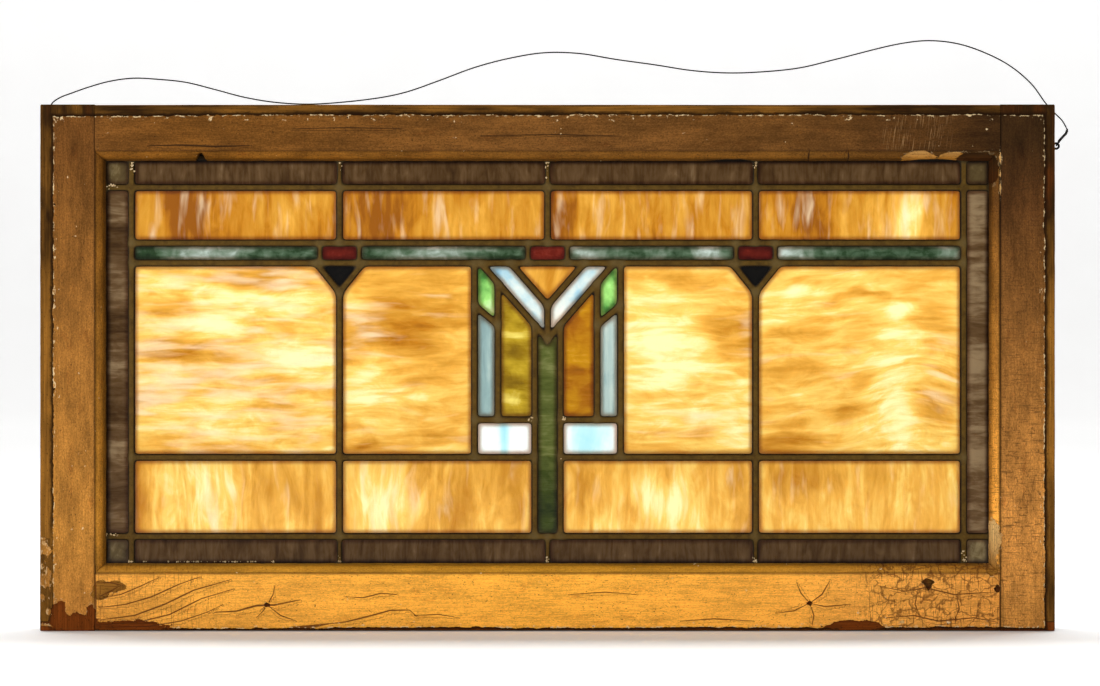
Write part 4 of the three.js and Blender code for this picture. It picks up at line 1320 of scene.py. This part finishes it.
def swirled(x, z, low, size, swirl):
    """Streak places turned round a spot. swirl is the spot and its radius as shares, and its turn."""
    centre_u, centre_v, radius, turn = swirl
    off_x = x - (low[0] + centre_u * size[0])
    off_z = z - (low[2] + centre_v * size[2])
    angle = turn * np.exp(-(np.hypot(off_x, off_z) / (radius * size[0])) ** 2)
    flow_x = x - off_x + off_x * np.cos(angle) - off_z * np.sin(angle)
    flow_z = z - off_z + off_x * np.sin(angle) + off_z * np.cos(angle)
    return flow_x, flow_z


def build_pane(name, seed, material, lines):
    look = pane_look(name)
    vertices, faces = grid_cut(name, {X: PANE_STEP, Z: PANE_STEP})
    x, y, z = vertices.T

    def drift(cell, first_seed, octaves, *parts):
        return noise_at(cell, first_seed + seed, octaves, *parts) - 0.5

    low, size = vertices.min(axis=0), np.ptp(vertices, axis=0)
    side = np.sign(y - low[1] - size[1] / 2)
    ripple = RIPPLE * (drift((13, 13), 101, 3, x, z) + 0.4 * drift((4.5, 4.5), 151, 2, x, z))
    y = y + ripple * np.where(side < 0, 1, BACK_RIPPLE) - side * PANE_TRIM

    flow_x, flow_z = swirled(x, z, low, size, look.swirl) if look.swirl else (x, z)
    tilt = math.radians(look.angle)
    along = flow_x * math.cos(tilt) + flow_z * math.sin(tilt)
    across = flow_z * math.cos(tilt) - flow_x * math.sin(tilt)
    across = across + look.warp * 2 * drift((55, 22), 201, 2, along, across)
    across = across + 2 * drift((24, 11), 221, 2, along, across)
    flow = np.stack([along, across, np.full(len(x), 37.0 * seed)], axis=1)

    u = (x - low[0]) / size[0] + 0.12 * drift((30, 14), 301, 3, along, across)
    v = (z - low[2]) / size[2] + 0.12 * drift((30, 14), 351, 3, along, across)
    tone = look.tone + 0.3 * drift((46, 15), 251, 3, along, across)
    tone = tone + sum(strength * blob(u, v, *spot) for *spot, strength in look.spots)
    milk = np.zeros(len(x)) + sum(strength * blob(u, v, *spot) for *spot, strength in look.milk)
    rim = np.clip(lead_depth(x, z, lines), -1, RIM_REACH)
    values = {"flow": flow, "tone": tone, "milk": milk, "rim": rim, "shade": sight_shade(x, z)}
    vertices = np.stack([x, y, z], axis=1)
    add_piece(name + "_pane", vertices, faces, material, [name], values, sharp=40)


# Each glass: its colours from dark to light, and how it differs from the common amber
AMBER_STOPS = [(0, 146, 83, 3), (0.2, 187, 121, 17), (0.4, 206, 147, 44), (0.6, 231, 174, 68),
               (0.8, 243, 207, 106), (1, 252, 240, 176)]
GLASSES = {
    "amber_glass": (AMBER_STOPS, {"milk": (248, 226, 186)}),
    "plum_glass": (
        [(0, 42, 23, 4), (0.35, 76, 52, 24), (0.65, 102, 76, 46), (1, 150, 126, 92)],
        {"streaks": (34, 4.5), "wisps": (18, 1.6), "contrast": 1.25, "clear": 0.5, "gloss": 0.1},
    ),
    "smoke_glass": (
        [(0, 50, 36, 12), (0.5, 96, 78, 44), (1, 166, 148, 104)],
        {"streaks": (12, 5), "wisps": (5, 1.6), "clear": 0.5, "gloss": 0.2},
    ),
    "teal_glass": (
        [(0, 18, 34, 16), (0.3, 42, 66, 38), (0.5, 80, 104, 78), (0.75, 134, 150, 132), (1, 200, 214, 206)],
        {"streaks": (20, 8), "wisps": (10, 3), "contrast": 1.2, "clear": 0.6, "gloss": 0.2},
    ),
    "red_glass": (
        [(0, 66, 8, 2), (0.5, 106, 26, 12), (1, 164, 60, 40)],
        {"streaks": (10, 5), "wisps": (5, 2), "clear": 0.6, "gloss": 0.2},
    ),
    "black_glass": (
        [(0, 2, 2, 1), (0.6, 12, 8, 4), (1, 50, 44, 36)],
        {"streaks": (10, 6), "wisps": (5, 2), "clear": 0.3, "gloss": 0.4},
    ),
    "white_glass": (
        [(0, 78, 146, 196), (0.35, 136, 186, 212), (0.6, 176, 208, 216), (1, 236, 238, 226)],
        {"streaks": (22, 8), "wisps": (8, 3)},
    ),
    "leaf_glass": (
        [(0, 26, 70, 24), (0.35, 80, 150, 66), (0.7, 162, 222, 120), (1, 226, 250, 204)],
        {"streaks": (20, 9), "wisps": (8, 3)},
    ),
    "blue_glass": (
        [(0, 98, 124, 128), (0.5, 148, 176, 174), (1, 212, 224, 212)],
        {"streaks": (40, 3.5), "wisps": (14, 1.2), "contrast": 0.8},
    ),
    "olive_glass": (
        [(0, 84, 56, 0), (0.35, 144, 112, 4), (0.65, 190, 160, 34), (1, 236, 218, 110)],
        {"streaks": (26, 7), "wisps": (14, 2)},
    ),
    "honey_glass": (
        [(0, 100, 50, 0), (0.35, 158, 94, 0), (0.65, 190, 134, 4), (1, 232, 184, 50)],
        {"streaks": (26, 8), "wisps": (14, 2.4)},
    ),
    "aqua_glass": (
        [(0, 150, 220, 236), (0.4, 196, 240, 244), (0.75, 244, 252, 248), (1, 252, 252, 246)],
        {"streaks": (30, 8), "wisps": (14, 3), "contrast": 0.6},
    ),
    "stem_glass": (
        [(0, 14, 26, 2), (0.4, 56, 68, 16), (0.7, 96, 104, 46), (1, 148, 150, 92)],
        {"streaks": (30, 5), "wisps": (16, 1.6), "clear": 0.6, "gloss": 0.2},
    ),
}


def build_glass():
    slots = {row["node"]: row["material_slot"] for row in frame["record"]["subparts"]}
    materials = {key: glass_material(key, stops, **look) for key, (stops, look) in GLASSES.items()}
    names = sorted(name for name, slot in slots.items() if slot in materials)
    lines = lead_lines()
    for seed, name in enumerate(names):
        build_pane(name, seed, materials[slots[name]], lines)


PUTTY_LUMP = 0.9


def build_putty(material):
    vertices, faces = grid_cut("glazing_putty", {X: 5, Z: 5, Y: 3})
    x, y, z = vertices.T
    lumps = noise_at((9, 5, 9), 401, 3, x, y, z)
    y = y - PUTTY_LUMP * lumps * smooth(y, y.min() + 1, y.max())
    vertices = np.stack([x, y, z], axis=1)
    add_piece("putty_fillet", vertices, faces, material, ["glazing_putty"])


CRUMB_SIZES = (0.25, 0.85)
# Each spot of crumbs: its x and z in millimetres, how far they scatter across and up, and how many
CRUMB_SPOTS = [
    (-border_x + 1, edge_top - 6, 1.8, 8, 16),
    (-quarter_x + 1, edge_top - 3, 1.6, 6, 9),
    (0, edge_top - 5, 1.6, 8, 12),
    (quarter_x, edge_top - 3, 1.6, 6, 9),
    (-edge_x + 9, top_line + 1, 7, 2, 12),
    (-edge_x + 8, bottom_line + 1.5, 6, 1.6, 12),
    (-border_x, edge_bottom + 4, 2.4, 4, 10),
    (-quarter_x, edge_bottom + 5, 1.8, 5, 10),
    (0, edge_bottom + 5, 1.8, 5, 10),
    (quarter_x, edge_bottom + 5, 1.8, 5, 10),
    (border_x, edge_bottom + 6, 2.2, 6, 16),
    (-stem_x - 3, foot_line + 1, 2.4, 2, 6),
    (stem_x + 3, foot_line + 1, 2.4, 2, 6),
    (stem_x + 1, row_line, 1.6, 3, 5),
    (-border_x + 70, edge_bottom + 3.2, 60, 0.8, 46),
]


def build_crumbs(material):
    """Crumbs of dried putty and whiting that were never brushed off the lead."""
    chance = np.random.default_rng(5)
    ball = bmesh.new()
    bmesh.ops.create_icosphere(ball, subdivisions=1, radius=1)
    ball.verts.index_update()
    corners = np.array([vertex.co for vertex in ball.verts])
    sides = [tuple(vertex.index for vertex in face.verts) for face in ball.faces]
    ball.free()
    parts = []
    for x, z, wide, high, count in CRUMB_SPOTS:
        for _ in range(count):
            size = chance.uniform(*CRUMB_SIZES)
            size = size * np.array([chance.uniform(0.8, 1.5), 0.6, chance.uniform(0.8, 1.5)])
            lumpy = corners * size * chance.uniform(0.75, 1.25, (len(corners), 1))
            spot = [x + chance.normal(0, wide / 2), lead_front + chance.uniform(-0.25, 0.15),
                    z + chance.normal(0, high / 2)]
            spot[2] = min(max(spot[2], sight_bottom + 1), sight_top - 1)
            parts.append(((lumpy + spot).tolist(), sides))
    vertices, faces = gather(*parts)
    add_piece("putty_crumbs", vertices, faces, material, [], sharp=80)


def build_stage():
    """A floor that curves up into a wall behind, in metres."""
    near, bend, radius, high, wide = -9, 6, 1.5, 8, 10
    below = 0.0004
    line = [(y, 0) for y in np.linspace(near, bend, 24)]
    line += [(bend + radius * math.sin(t), radius * (1 - math.cos(t)))
             for t in np.linspace(0, math.pi / 2, 17)[1:]]
    line += [(bend + radius, z) for z in np.linspace(radius, high, 6)[1:]]
    columns = np.linspace(-wide, wide, 9)
    vertices = [(x, y, z - below) for x in columns for y, z in line]
    faces = []
    for i in range(len(columns) - 1):
        for j in range(len(line) - 1):
            corner = i * len(line) + j
            faces.append((corner, corner + len(line), corner + len(line) + 1, corner + 1))
    floor_mesh = bpy.data.meshes.new("floor")
    floor_mesh.from_pydata(vertices, [], faces)
    floor_mesh.polygons.foreach_set("use_smooth", [True] * len(floor_mesh.polygons))
    floor_mesh.materials.append(floor_material("pale_floor"))
    floor = bpy.data.objects.new("floor", floor_mesh)
    bpy.context.scene.collection.objects.link(floor)


# Soft lights in metres: where each stands, what it points at (the window's middle if nothing else), its
# two sides, and its watts. None of them is seen itself.
WINDOW_MIDDLE = (0, 0, sash_height * MM / 2)
LIGHTS = {
    "key": ((-1.9, -2.2, 0.8), WINDOW_MIDDLE, (1.0, 1.0), 36),
    "fill": ((2.1, -2.4, 1.2), WINDOW_MIDDLE, (1.0, 1.0), 13),
    "glint": ((-0.45, -2.2, 1.5), WINDOW_MIDDLE, (0.16, 0.16), 5),
    "top": ((0, 0.46, 2.3), (0, -0.2, 0), (3.4, 0.42), 78),
    "back": ((0, 1.4, 0.6), WINDOW_MIDDLE, (1.6, 0.8), 2.4),
    "wall": ((0, 1.0, 1.6), (0, 3.2, 0.7), (3.2, 1.0), 25),
}
WORLD_GLOW = 0.28


def build_light():
    world = bpy.data.worlds.new("studio")
    world.use_nodes = True
    background = world.node_tree.nodes["Background"]
    background.inputs["Color"].default_value = (1, 1, 1, 1)
    background.inputs["Strength"].default_value = WORLD_GLOW
    bpy.context.scene.world = world
    bpy.context.scene.view_settings.view_transform = "Standard"
    for name, (place, target, size, watts) in LIGHTS.items():
        light_data = bpy.data.lights.new(name, "AREA")
        light_data.shape = "RECTANGLE"
        light_data.size, light_data.size_y = size
        light_data.energy = watts
        light = bpy.data.objects.new(name, light_data)
        light.location = place
        light.rotation_euler = (Vector(target) - Vector(place)).to_track_quat("-Z", "Y").to_euler()
        light.visible_camera = False
        bpy.context.scene.collection.objects.link(light)


build_hanging(iron_material("black_iron"))
build_sash()
build_lattice(lead_material("old_lead"))
build_glass()
old_putty = putty_material("old_putty")
build_putty(old_putty)
build_crumbs(old_putty)
build_stage()
build_light()
